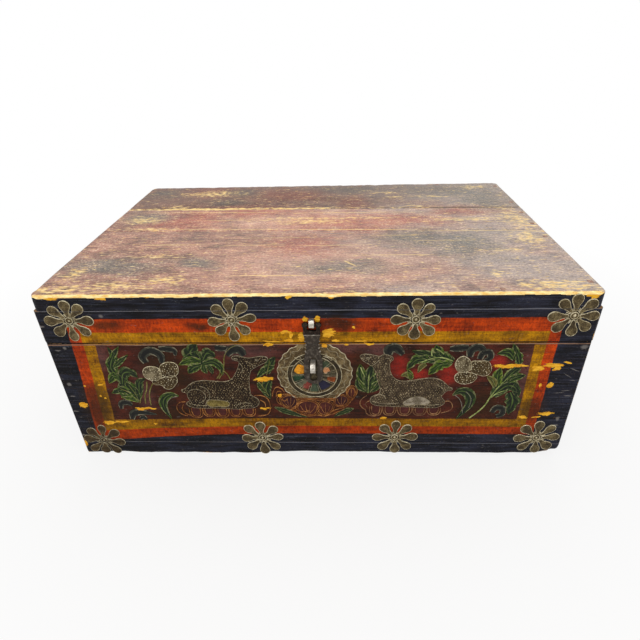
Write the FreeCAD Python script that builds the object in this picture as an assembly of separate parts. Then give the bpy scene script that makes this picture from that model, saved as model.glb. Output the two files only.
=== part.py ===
import FreeCAD, Part
import os

# A painted wooden trunk: a dovetailed box with a nailed bottom, a shallow dovetailed lid with a
# plank top, two forged hinges at the back, and an iron hasp that drops over a padlock staple.
# Millimetres. The origin is the centre of the underside. +Z is up, the front faces -Y, and +X is
# to the right of someone who faces the front.

# Overall sizes
base_width = 698.0
base_depth = 472.0
base_height = 200.0
lid_height = 70.0
lid_overhang = 1.0

# Boards and planks
board_thickness = 20.0
bottom_plank_thickness = 24.0
top_plank_thickness = 22.0
bottom_front_plank_width = 168.0
bottom_middle_plank_width = 150.0
top_front_plank_width = 214.0
top_middle_plank_width = 109.0
top_joint_skew = 8.0
joint_groove_depth = 1.2

# Worn corners and edges: the frames and the floor are bevelled, the top is rounded
base_corner_bevel = 2.0
lid_corner_bevel = 3.5
foot_edge_bevel = 1.5
rim_edge_bevel = 1.0
top_corner_radius = 12.0
top_edge_radius = 4.0

# Dovetails: the finger height that each corner comes nearest to, and how far a tail flares on each
# side between the inner and the outer face of the board that it passes through
finger_pitch = 25.0
tail_flare = 3.0

# Bamboo pins that join plank to plank, pointed at both ends
bamboo_width = 5.0
bamboo_point_width = 3.0
bamboo_length = 46.0
bamboo_end_margin = 110.0
bamboo_per_joint = 4

# Forged nails with square shanks
nail_width = 3.4
nail_point_width = 1.2
nail_grip = 26.0
flush_head_width = 6.4
flush_head_rise = 1.2
flush_crown_share = 1.0
rose_head_width = 7.0
rose_head_rise = 1.9
rose_crown_share = 0.35
plank_nail_margin = 28.0
rail_nail_margin = 120.0
nails_per_plank_end = 2
nails_per_rail = 4

# Padlock staple in the base, a strip bent to a loop that stands on edge
staple_band = 6.6
lock_strip = 2.4
lock_eye_height = 10.2
lock_reach = 16.0
lock_drop = 33.5
lock_clinch_length = 13.0

# Staple in the lid that carries the hasp on a pin
hanger_strip = 2.2
hanger_slack = 3.0
hanger_rise = 29.5
hanger_clinch_length = 9.0
hasp_stand_off = 4.4

# Pins of the hasp and the hinges, with their running clearance
pin_radius = 1.8
pin_clearance = 0.06
pin_head_radius = 2.9
pin_head_length = 1.4
pin_overhang = 1.5

# Hasp: a strap folded round its pin and lapped in front, a narrow waist, and a slotted end
hasp_strip = 2.0
hasp_fold_width = 21.4
hasp_notch_play = 2.2
hasp_notch_clearance = 0.6
hasp_lap = 14.7
hasp_neck_drop = 26.5
hasp_waist_width = 14.0
hasp_waist_length = 13.0
hasp_shoulder_length = 17.5
hasp_end_width = 25.0
hasp_length = 94.9
hasp_slot_play = 1.5
hasp_slot_clearance = 2.8
hasp_slot_web = 5.0
hasp_back_gap = 0.5
hasp_edge_bevel = 0.5

# Hinges
hinge_spacing = 400.0
hinge_width = 46.0
hinge_strip = 2.0
hinge_stand_off = 0.35
hinge_knuckle_gap = 0.3
base_leaf_length = 52.0
lid_leaf_length = 40.0
leaf_tip_share = 0.62
leaf_taper_share = 0.4
hinge_nail_inset = 9.0
hinge_nail_grip = 13.0
knuckle_count = 3

# One overrun serves every cutting tool, and two heights nearer than this are the same
overrun = 5.0
same_place = 0.01

# Datums worked out from the sizes
base_left = -base_width / 2
base_right = base_width / 2
base_front = -base_depth / 2
base_back = base_depth / 2
lid_left = base_left - lid_overhang
lid_right = base_right + lid_overhang
lid_front = base_front - lid_overhang
lid_back = base_back
top_underside = base_height + lid_height - top_plank_thickness
trunk_top = base_height + lid_height
lock_height = base_height - lock_drop
lock_top = lock_height + lock_eye_height / 2 + lock_strip
hanger_height = base_height + hanger_rise
hanger_eye_radius = pin_radius + pin_clearance
knuckle_radius = pin_radius + hinge_strip
hinge_axis_y = base_back + hinge_stand_off + knuckle_radius
hasp_barrel_radius = pin_radius + hasp_strip
hasp_axis_y = lid_front - hasp_stand_off

X_AXIS = FreeCAD.Vector(1, 0, 0)
Y_AXIS = FreeCAD.Vector(0, 1, 0)
Z_AXIS = FreeCAD.Vector(0, 0, 1)


def point(x, y, z):
    """A point in space."""
    return FreeCAD.Vector(x, y, z)


def block(x_span, y_span, z_span):
    """A box between the low and high value given for each axis."""
    low = point(x_span[0], y_span[0], z_span[0])
    return Part.makeBox(x_span[1] - x_span[0], y_span[1] - y_span[0], z_span[1] - z_span[0], low)


def edges_near(shape, test):
    """The edges whose middle passes a test."""
    return [edge for edge in shape.Edges if test(edge.CenterOfMass)]


def polygon_prism(corners, along):
    """A prism on a flat closed outline, pushed along a vector."""
    return Part.Face(Part.makePolygon(corners + corners[:1])).extrude(along)


def placed(shape, axis, angle, at):
    """A shape turned about the origin, then carried to its place."""
    return shape.transformed(FreeCAD.Placement(at, FreeCAD.Rotation(axis, angle)).toMatrix())


def spread(low, high, count):
    """Evenly spaced values from low to high."""
    return [low + (high - low) * step / (count - 1) for step in range(count)]


def eased_block(x_span, y_span, z_span, corner, rim, rim_z, rounded):
    """A box whose upright corners, and the rim at one height, are rounded or bevelled."""
    solid = block(x_span, y_span, z_span)
    upright = edges_near(solid, lambda at: z_span[0] < at.z < z_span[1])
    solid = solid.makeFillet(corner, upright) if rounded else solid.makeChamfer(corner, upright)
    edges = edges_near(solid, lambda at: abs(at.z - rim_z) < same_place)
    return solid.makeFillet(rim, edges) if rounded else solid.makeChamfer(rim, edges)


# Corner joints

def finger_count(height):
    """The odd number of fingers that comes nearest to the finger pitch, and at least three."""
    pairs = round((height / finger_pitch - 1) / 2)
    return 2 * max(1, pairs) + 1


def corner_tails(x_span, outer_y, inner_y, z_span):
    """The tails at one end of a side board, flaring from the inner to the outer face of the front
    or back board that they pass through."""
    heights = spread(z_span[0], z_span[1], finger_count(z_span[1] - z_span[0]) + 1)
    tails = []
    for low, high in zip(heights[1::2], heights[2::2]):
        outline = [
            point(x_span[0], inner_y, low + tail_flare),
            point(x_span[0], inner_y, high - tail_flare),
            point(x_span[0], outer_y, high),
            point(x_span[0], outer_y, low),
        ]
        tails.append(polygon_prism(outline, X_AXIS * (x_span[1] - x_span[0])))
    return tails


def carcass(left, right, front, back, z_span, envelope):
    """Four boards dovetailed at the corners: the side boards carry the tails."""
    inner_front = front + board_thickness
    inner_back = back - board_thickness
    front_board = block((left, right), (front, inner_front), z_span)
    back_board = block((left, right), (inner_back, back), z_span)
    sides = []
    for x_span in ((left, left + board_thickness), (right - board_thickness, right)):
        front_tails = corner_tails(x_span, front, inner_front, z_span)
        back_tails = corner_tails(x_span, back, inner_back, z_span)
        side = block(x_span, (inner_front, inner_back), z_span)
        sides.append(side.fuse(front_tails + back_tails).removeSplitter())
        front_board = front_board.cut(front_tails)
        back_board = back_board.cut(back_tails)
    return [board.common(envelope) for board in (front_board, back_board, *sides)]


# Planks

def plank_joints(front, first_width, second_width, skew):
    """The two joint lines across a face of three planks, each as its y at the left and right end."""
    first = front + first_width
    second = first + second_width
    return (first + skew, first - skew), (second + skew, second - skew)


def joint_groove(left, right, joint, face_z):
    """The shallow V that the eased edges of two planks make along their joint."""
    outline = [
        point(left, joint[0] - joint_groove_depth, face_z),
        point(left, joint[0], face_z - joint_groove_depth),
        point(left, joint[0] + joint_groove_depth, face_z),
    ]
    return polygon_prism(outline, point(right - left, joint[1] - joint[0], 0))


def planks(left, right, front, back, z_span, joints, envelope, grooves):
    """Three planks side by side, cut to the rounded outline of the face that they make."""
    lines = [(front, front), *joints, (back, back)]
    pieces = []
    for near, far in zip(lines, lines[1:]):
        outline = [
            point(left, near[0], z_span[0]),
            point(right, near[1], z_span[0]),
            point(right, far[1], z_span[0]),
            point(left, far[0], z_span[0]),
        ]
        plank = polygon_prism(outline, Z_AXIS * (z_span[1] - z_span[0])).common(envelope)
        pieces.append(plank.cut(grooves))
    return pieces


def frustum(low_width, high_width, length):
    """A square pyramid cut short, standing on its low end."""
    low = low_width / 2
    high = high_width / 2
    wedge = Part.makeWedge(-low, 0, -low, -high, -high, low, length, low, high, high)
    return placed(wedge, X_AXIS, 90, point(0, 0, 0))


def bamboo_pins(left, right, joints, mid_z):
    """Pointed pins across each joint line, in the middle of the planks' thickness."""
    pins = []
    half = frustum(bamboo_width, bamboo_point_width, bamboo_length / 2)
    pin = placed(half, X_AXIS, -90, point(0, 0, 0)).fuse(placed(half, X_AXIS, 90, point(0, 0, 0)))
    for joint in joints:
        for x in spread(left + bamboo_end_margin, right - bamboo_end_margin, bamboo_per_joint):
            y = joint[0] + (joint[1] - joint[0]) * (x - left) / (right - left)
            pins.append(pin.translated(point(x, y, mid_z)))
    return pins


def nail(head_width, head_rise, crown_share, length):
    """A nail that points down, with the underside of its head at the origin."""
    head = frustum(head_width, head_width * crown_share, head_rise)
    shank = placed(frustum(nail_width, nail_point_width, length), X_AXIS, 180, point(0, 0, 0))
    return head.fuse(shank).removeSplitter()


def nail_places(left, right, front, back, joints):
    """Where nails hold three planks to the four boards round them."""
    half_board = board_thickness / 2
    places = []
    lines = [(front, front), *joints, (back, back)]
    for near, far in zip(lines, lines[1:]):
        for side, x in ((0, left + half_board), (1, right - half_board)):
            rows = spread(near[side] + plank_nail_margin, far[side] - plank_nail_margin, nails_per_plank_end)
            places += [(x, y) for y in rows]
    for y in (front + half_board, back - half_board):
        places += [(x, y) for x in spread(left + rail_nail_margin, right - rail_nail_margin, nails_per_rail)]
    return places


def plank_nails(places, face_z, thickness, turn):
    """Nails driven through the planks at a face, with their heads flush."""
    length = thickness - flush_head_rise + nail_grip
    tool = nail(flush_head_width, flush_head_rise, flush_crown_share, length)
    sink = flush_head_rise if turn else -flush_head_rise
    return [placed(tool, X_AXIS, turn, point(x, y, face_z + sink)) for x, y in places]


# Staples

def loop_slab(radius, low_z, high_z, nose_y, tail_y):
    """A slab as wide as a staple's band, with a round nose towards the front."""
    half = staple_band / 2
    turn = radius * 0.5 ** 0.5
    low_start = point(-half, nose_y, low_z - radius)
    low_end = point(-half, nose_y - radius, low_z)
    high_start = point(-half, nose_y - radius, high_z)
    high_end = point(-half, nose_y, high_z + radius)
    edges = [
        Part.makeLine(point(-half, tail_y, low_z - radius), low_start),
        Part.Arc(low_start, point(-half, nose_y - turn, low_z - turn), low_end).toShape(),
        Part.Arc(high_start, point(-half, nose_y - turn, high_z + turn), high_end).toShape(),
        Part.makeLine(high_end, point(-half, tail_y, high_z + radius)),
        Part.makeLine(point(-half, tail_y, high_z + radius), point(-half, tail_y, low_z - radius)),
    ]
    if high_z > low_z:
        edges.insert(2, Part.makeLine(low_end, high_start))
    return Part.Face(Part.Wire(edges)).extrude(X_AXIS * staple_band)


def staple(inner_radius, strip, low_z, high_z, nose_y, inside_y, clinch_length):
    """A strip bent to a loop, driven through a board, its two ends clinched flat on the inside."""
    half = staple_band / 2
    outer = loop_slab(inner_radius + strip, low_z, high_z, nose_y, inside_y)
    inner = loop_slab(inner_radius, low_z, high_z, nose_y, inside_y + overrun)
    low_end = (low_z - inner_radius - strip - clinch_length, low_z - inner_radius)
    high_end = (high_z + inner_radius, high_z + inner_radius + strip + clinch_length)
    tips = [block((-half, half), (inside_y, inside_y + strip), z_span) for z_span in (low_end, high_end)]
    return outer.cut(inner).fuse(tips).removeSplitter()


def lock_staple():
    """The staple that stands through the hasp's slot and takes the padlock."""
    radius = lock_eye_height / 2
    nose_y = base_front - lock_reach + lock_strip + radius
    inside_y = base_front + board_thickness
    return staple(radius, lock_strip, lock_height, lock_height, nose_y, inside_y, lock_clinch_length)


def hanger_staple():
    """The staple in the lid: the hasp's pin turns in the bottom of its loop."""
    high_z = hanger_height + hanger_slack
    inside_y = lid_front + board_thickness
    eye = (hanger_eye_radius, hanger_strip, hanger_height, high_z)
    return staple(*eye, hasp_axis_y, inside_y, hanger_clinch_length)


# Hasp

def x_pin(centre, half_length):
    """A plain pin along X."""
    return Part.makeCylinder(pin_radius, 2 * half_length, centre - X_AXIS * half_length, X_AXIS)


def hasp_pin():
    """The pin through the hasp's fold and the lid's staple, peened to a head at each end."""
    half_length = hasp_fold_width / 2
    centre = point(0, hasp_axis_y, hanger_height)
    heads = []
    for way in (-1, 1):
        start = centre + X_AXIS * half_length * way
        heads.append(Part.makeCone(pin_head_radius, pin_radius, pin_head_length, start, X_AXIS * way))
    return x_pin(centre, half_length).fuse(heads)


def hasp_side_profile():
    """The strap from the side: round the pin, lapped in front, then set back to lie on the base."""
    y = hasp_axis_y
    z = hanger_height
    back = y + hasp_strip
    front = y - hasp_strip
    set_back = base_front - hasp_back_gap - back
    waist_top = z - hasp_neck_drop
    waist_end = waist_top - hasp_waist_length
    foot = z - hasp_length
    outline = [
        point(0, front, z),
        point(0, front, z - hasp_lap),
        point(0, y, z - hasp_lap),
        point(0, y, waist_top),
        point(0, y + set_back, waist_end),
        point(0, y + set_back, foot),
        point(0, back + set_back, foot),
        point(0, back + set_back, waist_end),
        point(0, back, waist_top),
        point(0, back, z),
    ]
    half = hasp_end_width / 2
    strap = polygon_prism(outline, X_AXIS * hasp_end_width)
    barrel = Part.makeCylinder(hasp_barrel_radius, hasp_end_width, point(0, y, z), X_AXIS)
    return strap.fuse(barrel).translated(point(-half, 0, 0))


def hasp_front_outline():
    """The strap from the front: fold, waist, shoulders and a round end."""
    z = hanger_height
    top = z + hasp_barrel_radius + overrun
    neck = z - hasp_lap
    waist_top = z - hasp_neck_drop
    waist_end = waist_top - hasp_waist_length
    shoulder = waist_end - hasp_shoulder_length
    end_radius = hasp_end_width / 2
    end_centre = z - hasp_length + end_radius
    fold = hasp_fold_width / 2
    waist = hasp_waist_width / 2
    y = hasp_axis_y - hasp_barrel_radius - overrun
    depth = base_front - y + overrun
    right = [
        point(fold, y, top),
        point(fold, y, neck),
        point(waist, y, waist_top),
        point(waist, y, waist_end),
        point(end_radius, y, shoulder),
        point(end_radius, y, end_centre),
    ]
    left = [point(-at.x, at.y, at.z) for at in reversed(right)]
    body = polygon_prism(right + left, Y_AXIS * depth)
    end = Part.makeCylinder(end_radius, depth, point(0, y, end_centre), Y_AXIS)
    return body.fuse(end)


def hasp_slot():
    """The upright slot with round ends that drops over the padlock staple."""
    radius = staple_band / 2 + hasp_slot_play
    y = hasp_axis_y - hasp_barrel_radius - overrun
    depth = base_front - y + overrun
    high = lock_top + hasp_slot_clearance - radius
    low = hanger_height - hasp_length + hasp_slot_web + radius
    ends = [Part.makeCylinder(radius, depth, point(0, y, z), Y_AXIS) for z in (low, high)]
    return block((-radius, radius), (y, y + depth), (low, high)).fuse(ends)


def hasp_strap():
    """The hasp itself, with the notch where the lid's staple reaches its pin."""
    solid = hasp_side_profile().common(hasp_front_outline()).removeSplitter()
    notch = staple_band / 2 + hasp_notch_play
    notch_depth = hanger_slack + hanger_eye_radius + hanger_strip + hasp_notch_clearance
    y_span = (hasp_axis_y - hasp_barrel_radius - overrun, hasp_axis_y + hasp_barrel_radius + overrun)
    z_span = (hanger_height - notch_depth, hanger_height + hasp_barrel_radius + overrun)
    bore_length = hasp_end_width + overrun
    bore_start = point(-bore_length / 2, hasp_axis_y, hanger_height)
    bore = Part.makeCylinder(pin_radius + pin_clearance, bore_length, bore_start, X_AXIS)
    solid = solid.cut([block((-notch, notch), y_span, z_span), bore, hasp_slot()])
    foot = hanger_height - hasp_length + hasp_end_width / 2
    outer = edges_near(solid, lambda at: at.y < base_front - hasp_back_gap - hasp_strip / 2 and at.z < foot)
    return solid.makeChamfer(hasp_edge_bevel, outer)


# Hinges

def knuckle_spans(centre_x):
    """The x range of each knuckle along a hinge, with a running gap between them."""
    step = hinge_width / knuckle_count
    left = centre_x - hinge_width / 2
    half_gap = hinge_knuckle_gap / 2
    return [(left + i * step + half_gap, left + (i + 1) * step - half_gap) for i in range(knuckle_count)]


def leaf_nail_places(centre_x, way, length):
    """The x and z of a leaf's three nails: two near the knuckle and one near the tip."""
    root = base_height + way * (knuckle_radius + hinge_knuckle_gap + hinge_nail_inset)
    tip = base_height + way * (length - hinge_nail_inset)
    reach = hinge_width / 2 - hinge_nail_inset
    return [(centre_x - reach, root), (centre_x + reach, root), (centre_x, tip)]


def leaf_nails(centre_x, way, length):
    """Rose-headed nails through a leaf into the board behind it."""
    tool = nail(rose_head_width, rose_head_rise, rose_crown_share, hinge_strip + hinge_nail_grip)
    y = base_back + hinge_strip
    return [placed(tool, X_AXIS, -90, point(x, y, z)) for x, z in leaf_nail_places(centre_x, way, length)]


def hinge_leaf(centre_x, way, length, owned):
    """A forged leaf that narrows to its tip, rolled into the knuckles that it owns. way is 1 for
    the lid's leaf, which rises from the axis, and -1 for the base's."""
    half = hinge_width / 2
    tip_half = half * leaf_tip_share
    root_z = base_height + way * (knuckle_radius + hinge_knuckle_gap)
    taper_z = base_height + way * length * (1 - leaf_taper_share)
    tip_z = base_height + way * length
    outline = [
        point(centre_x - half, base_back, root_z),
        point(centre_x + half, base_back, root_z),
        point(centre_x + half, base_back, taper_z),
        point(centre_x + tip_half, base_back, tip_z),
        point(centre_x - tip_half, base_back, tip_z),
        point(centre_x - half, base_back, taper_z),
    ]
    leaf = polygon_prism(outline, Y_AXIS * hinge_strip)
    axis_start = point(0, hinge_axis_y, base_height)
    rolls = []
    for low, high in knuckle_spans(centre_x)[owned::2]:
        roll = Part.makeCylinder(knuckle_radius, high - low, axis_start + X_AXIS * low, X_AXIS)
        z_span = sorted((root_z, base_height + way * hinge_strip / 2))
        rolls += [roll, block((low, high), (base_back, base_back + hinge_strip), z_span)]
    bore_start = axis_start + X_AXIS * (centre_x - hinge_width)
    bore = Part.makeCylinder(pin_radius + pin_clearance, 2 * hinge_width, bore_start, X_AXIS)
    leaf = leaf.fuse(rolls).removeSplitter().cut(bore)
    return leaf.cut(leaf_nails(centre_x, way, length))


def hinge_pin(centre_x):
    """The pin along a hinge's knuckles, which stands out a little at both ends."""
    return x_pin(point(centre_x, hinge_axis_y, base_height), hinge_width / 2 + pin_overhang)


# Whole assemblies

def base_pieces():
    """Everything that stays on the floor when the lid is lifted."""
    wall_z = (bottom_plank_thickness, base_height)
    floor_z = (0, bottom_plank_thickness)
    outside = ((base_left, base_right), (base_front, base_back))
    wall_envelope = eased_block(*outside, wall_z, base_corner_bevel, rim_edge_bevel, base_height, False)
    floor_envelope = eased_block(*outside, floor_z, base_corner_bevel, foot_edge_bevel, 0, False)
    limits = (base_left, base_right, base_front, base_back)
    front, back, left, right = carcass(*limits, wall_z, wall_envelope)
    joints = plank_joints(base_front, bottom_front_plank_width, bottom_middle_plank_width, 0)
    grooves = [joint_groove(base_left, base_right, joint, bottom_plank_thickness) for joint in joints]
    floor = planks(*limits, floor_z, joints, floor_envelope, grooves)
    pins = bamboo_pins(base_left, base_right, joints, bottom_plank_thickness / 2)
    nails = plank_nails(nail_places(*limits, joints), 0, bottom_plank_thickness, 180)
    lock = lock_staple()
    leaf_fixings = [leaf_nails(x, -1, base_leaf_length) for x in (-hinge_spacing / 2, hinge_spacing / 2)]
    leaf_fixings = sum(leaf_fixings, [])
    floor = [plank.cut(pins + nails) for plank in floor]
    return {
        "base_front_board": front.cut(nails + [lock]),
        "base_back_board": back.cut(nails + leaf_fixings),
        "base_left_board": left.cut(nails),
        "base_right_board": right.cut(nails),
        "bottom_plank_front": floor[0],
        "bottom_plank_middle": floor[1],
        "bottom_plank_rear": floor[2],
        "bottom_plank_pins": Part.makeCompound(pins),
        "bottom_nails": Part.makeCompound(nails),
        "padlock_staple": lock,
        "base_hinge_nails": Part.makeCompound(leaf_fixings),
    }


def lid_pieces():
    """The lid's frame, its plank top, and the staple that carries the hasp."""
    rail_z = (base_height, top_underside)
    top_z = (top_underside, trunk_top)
    outside = ((lid_left, lid_right), (lid_front, lid_back))
    rail_envelope = eased_block(*outside, rail_z, lid_corner_bevel, rim_edge_bevel, base_height, False)
    top_envelope = eased_block(*outside, top_z, top_corner_radius, top_edge_radius, trunk_top, True)
    limits = (lid_left, lid_right, lid_front, lid_back)
    front, back, left, right = carcass(*limits, rail_z, rail_envelope)
    joints = plank_joints(lid_front, top_front_plank_width, top_middle_plank_width, top_joint_skew)
    grooves = [joint_groove(lid_left, lid_right, joint, trunk_top) for joint in joints]
    top = planks(*limits, top_z, joints, top_envelope, grooves)
    pins = bamboo_pins(lid_left, lid_right, joints, top_underside + top_plank_thickness / 2)
    nails = plank_nails(nail_places(*limits, joints), trunk_top, top_plank_thickness, 0)
    hanger = hanger_staple()
    leaf_fixings = [leaf_nails(x, 1, lid_leaf_length) for x in (-hinge_spacing / 2, hinge_spacing / 2)]
    leaf_fixings = sum(leaf_fixings, [])
    top = [plank.cut(pins + nails) for plank in top]
    return {
        "lid_front_rail": front.cut(nails + [hanger]),
        "lid_back_rail": back.cut(nails + leaf_fixings),
        "lid_left_rail": left.cut(nails),
        "lid_right_rail": right.cut(nails),
        "top_plank_front": top[0],
        "top_plank_middle": top[1],
        "top_plank_rear": top[2],
        "top_plank_pins": Part.makeCompound(pins),
        "top_nails": Part.makeCompound(nails),
        "hasp_staple": hanger,
        "lid_hinge_nails": Part.makeCompound(leaf_fixings),
    }


def hinge_pieces():
    """The leaves and pins of the two hinges: the base's leaf owns the outer knuckles."""
    pieces = {}
    for side, centre_x in (("left", -hinge_spacing / 2), ("right", hinge_spacing / 2)):
        pieces[side + "_hinge_base_leaf"] = hinge_leaf(centre_x, -1, base_leaf_length, 0)
        pieces[side + "_hinge_lid_leaf"] = hinge_leaf(centre_x, 1, lid_leaf_length, 1)
        pieces[side + "_hinge_pin"] = hinge_pin(centre_x)
    return pieces


def main():
    """Builds every piece and writes one STEP file for each."""
    os.makedirs("parts", exist_ok=True)
    pieces = {**base_pieces(), **lid_pieces(), **hinge_pieces()}
    pieces["hasp_strap"] = hasp_strap()
    pieces["hasp_pin"] = hasp_pin()
    for name, shape in pieces.items():
        solids = len(shape.Solids)
        print(f"{name}: {solids} solid(s), {shape.Volume / 1000:.1f} cm3, valid {shape.isValid()}")
        shape.exportStep(f"parts/{name}.step")


main()
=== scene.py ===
"""A painted wooden trunk with raised gesso ornament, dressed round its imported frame.

The boards are worn copies of the frame's own boards. The ornament is laid on the
front as raised lines, low plates, leaf blades and dots, in millimetres from the
middle of the front and from the floor. Everything rides on the frame's bodies.
"""

import logging
import math
import random
from dataclasses import dataclass, field
from enum import Enum

import bmesh
import bpy
from mathutils import Matrix, Vector, noise


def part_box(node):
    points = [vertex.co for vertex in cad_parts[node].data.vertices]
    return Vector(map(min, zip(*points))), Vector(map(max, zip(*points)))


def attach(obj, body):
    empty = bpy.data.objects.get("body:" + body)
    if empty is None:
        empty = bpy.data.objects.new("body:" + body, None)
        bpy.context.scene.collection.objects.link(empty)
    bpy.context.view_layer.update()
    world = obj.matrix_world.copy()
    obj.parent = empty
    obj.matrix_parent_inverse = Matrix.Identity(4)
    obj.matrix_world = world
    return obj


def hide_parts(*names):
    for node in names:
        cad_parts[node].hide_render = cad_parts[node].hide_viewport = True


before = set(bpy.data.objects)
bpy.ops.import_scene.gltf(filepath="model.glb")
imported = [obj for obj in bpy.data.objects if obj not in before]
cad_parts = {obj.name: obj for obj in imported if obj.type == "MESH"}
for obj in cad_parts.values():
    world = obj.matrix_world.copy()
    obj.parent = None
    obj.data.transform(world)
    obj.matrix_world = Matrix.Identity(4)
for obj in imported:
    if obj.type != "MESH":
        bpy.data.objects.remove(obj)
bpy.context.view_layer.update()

LOG = logging.getLogger("trunk")
MM = 0.001
UP = Vector((0, 0, 1))
# Vertices that lie closer than this, in metres, are one.
SAME_PLACE = 1e-6
# Points of the ornament that lie closer than this, in metres, to a cut are on it.
ON_PLANE = 1e-7

Spot = tuple[float, float]
Path = tuple[Spot, ...]
Line = tuple[Path, bool]
Mesh = bmesh.types.BMesh
Part = tuple[Mesh, int]
Material = bpy.types.Material
Socket = bpy.types.NodeSocket
Tree = bpy.types.NodeTree


@dataclass(frozen=True)
class Trunk:
    """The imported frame's outside faces, in millimetres."""

    base_half_width: float = 349.0
    lid_half_width: float = 350.0
    base_front: float = -236.0
    lid_front: float = -237.0
    back: float = 236.0
    parting: float = 200.0
    lid_joint: float = 248.0
    foot_joint: float = 24.0
    top: float = 270.0
    corner: float = 12.0


TRUNK = Trunk()


class Node(Enum):
    """The nodes in use: type, settings, the inputs that get values, and the output read."""

    ADD = "ShaderNodeMath", {"operation": "ADD"}
    SUBTRACT = "ShaderNodeMath", {"operation": "SUBTRACT"}
    MULTIPLY = "ShaderNodeMath", {"operation": "MULTIPLY"}
    MULTIPLY_ADD = "ShaderNodeMath", {"operation": "MULTIPLY_ADD"}
    DIVIDE = "ShaderNodeMath", {"operation": "DIVIDE"}
    MINIMUM = "ShaderNodeMath", {"operation": "MINIMUM"}
    MAXIMUM = "ShaderNodeMath", {"operation": "MAXIMUM"}
    ABSOLUTE = "ShaderNodeMath", {"operation": "ABSOLUTE"}
    FRACTION = "ShaderNodeMath", {"operation": "FRACT"}
    MOVE = "ShaderNodeVectorMath", {"operation": "ADD"}
    AWAY_FROM = "ShaderNodeVectorMath", {"operation": "SUBTRACT"}
    SCALE = "ShaderNodeVectorMath", {"operation": "SCALE"}, (0, "Scale")
    UNSIGNED = "ShaderNodeVectorMath", {"operation": "ABSOLUTE"}
    LENGTH = "ShaderNodeVectorMath", {"operation": "LENGTH"}, (0,), 1
    RANGE = "ShaderNodeMapRange"
    MIX = "ShaderNodeMix", {"data_type": "RGBA"}, (0, 6, 7), 2
    SPLIT = "ShaderNodeSeparateXYZ"
    CLOUD = "ShaderNodeTexNoise", {}, (0, "Scale", "Detail", "Roughness")
    COLOUR_CLOUD = "ShaderNodeTexNoise", {}, (0, "Scale", "Detail"), 1
    STRETCH = "ShaderNodeMapping", {}, (0, "Scale")
    OWN_FRAME = "ShaderNodeMapping", {"vector_type": "TEXTURE"}
    GROUP = "ShaderNodeGroup"
    GROUP_INPUT = "NodeGroupInput"
    GROUP_OUTPUT = "NodeGroupOutput"
    PLACE = "ShaderNodeTexCoord", {}, (), 3
    LEAF_MAP = "ShaderNodeUVMap", {"uv_map": "leaf"}
    BUMP = "ShaderNodeBump", {}, ("Height", "Distance", "Strength")
    PRINCIPLED = "ShaderNodeBsdfPrincipled"
    SURFACE = "ShaderNodeOutputMaterial"
    PAPER = "ShaderNodeBsdfDiffuse"
    GLOW = "ShaderNodeEmission"
    SKY = "ShaderNodeBackground"
    LIGHT_PATH = "ShaderNodeLightPath"
    MIX_SHADER = "ShaderNodeMixShader"
    WORLD = "ShaderNodeOutputWorld"

    def __init__(
        self, kind: str, settings: dict | None = None, inputs: tuple = (0, 1, 2, 3, 4), out: int = 0
    ) -> None:
        """Name the parts of a member's value."""
        self.kind, self.settings, self.inputs, self.out = kind, settings or {}, inputs, out


def linear(shade: str) -> tuple[float, float, float, float]:
    """Turn an sRGB hex colour into the linear colour that a shader takes.

    Args:
        shade: The colour as "#rrggbb".

    Returns:
        Red, green, blue and an alpha of 1.
    """
    parts = [int(shade[at : at + 2], 16) / 255 for at in (1, 3, 5)]
    red, green, blue = (
        part / 12.92 if part <= 0.04045 else ((part + 0.055) / 1.055) ** 2.4 for part in parts
    )
    return red, green, blue, 1.0


def add_node(
    tree: Tree, kind: Node, *values, named: dict | None = None, **settings
) -> Socket | None:
    """Add a node with its settings, values and links.

    Args:
        tree: The tree that gets the node.
        kind: The node.
        values: A number, a hex colour or a socket for each of its inputs, in order.
        named: The same for other inputs, by their names.
        settings: Settings of this node alone.

    Returns:
        The output that is read, or None for a node that has none.
    """
    node = tree.nodes.new(kind.kind)
    for name, value in {**kind.settings, **settings}.items():
        setattr(node, name, value)
    for key, value in {**dict(zip(kind.inputs, values)), **(named or {})}.items():
        if isinstance(value, Socket):
            tree.links.new(value, node.inputs[key])
        else:
            node.inputs[key].default_value = linear(value) if isinstance(value, str) else value
    return node.outputs[kind.out] if len(node.outputs) else None


def summed(tree: Tree, value: Socket, *parts: tuple[Socket, float]) -> Socket:
    """Add values to a value, each by its own weight.

    Args:
        tree: The tree to build in.
        value: The first value.
        parts: Each further value and its weight.

    Returns:
        The sum.
    """
    for other, weight in parts:
        value = add_node(tree, Node.MULTIPLY_ADD, other, weight, value)
    return value


def greatest(tree: Tree, value: Socket, *others: Socket) -> Socket:
    """Give the greatest of several values."""
    for other in others:
        value = add_node(tree, Node.MAXIMUM, value, other)
    return value


def shaded(
    tree: Tree, colour: Socket | str, shade: Socket | str, value: Socket,
    start: float, end: float, most: float = 1.0,
) -> Socket:
    """Lay a shade over a colour by a value.

    Args:
        tree: The tree to build in.
        colour: The colour below, as a socket or a hex colour.
        shade: The shade above.
        value: What decides.
        start: The value at which the shade begins to show.
        end: The value from which it shows fully.
        most: How much it covers there.

    Returns:
        The new colour.
    """
    mask = add_node(tree, Node.RANGE, value, start, end, 0.0, most)
    return add_node(tree, Node.MIX, mask, colour, shade)


def new_material(name: str) -> tuple[Material, Tree]:
    """Start a material with an empty tree.

    Args:
        name: The material's name.

    Returns:
        The material and its tree.
    """
    material = bpy.data.materials.new(name)
    material.use_nodes = True
    material.node_tree.nodes.clear()
    return material, material.node_tree


def place_in_mm(tree: Tree) -> Socket:
    """Give the point's place in the frame, in millimetres."""
    return add_node(tree, Node.SCALE, add_node(tree, Node.PLACE), 1000.0)


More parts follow.
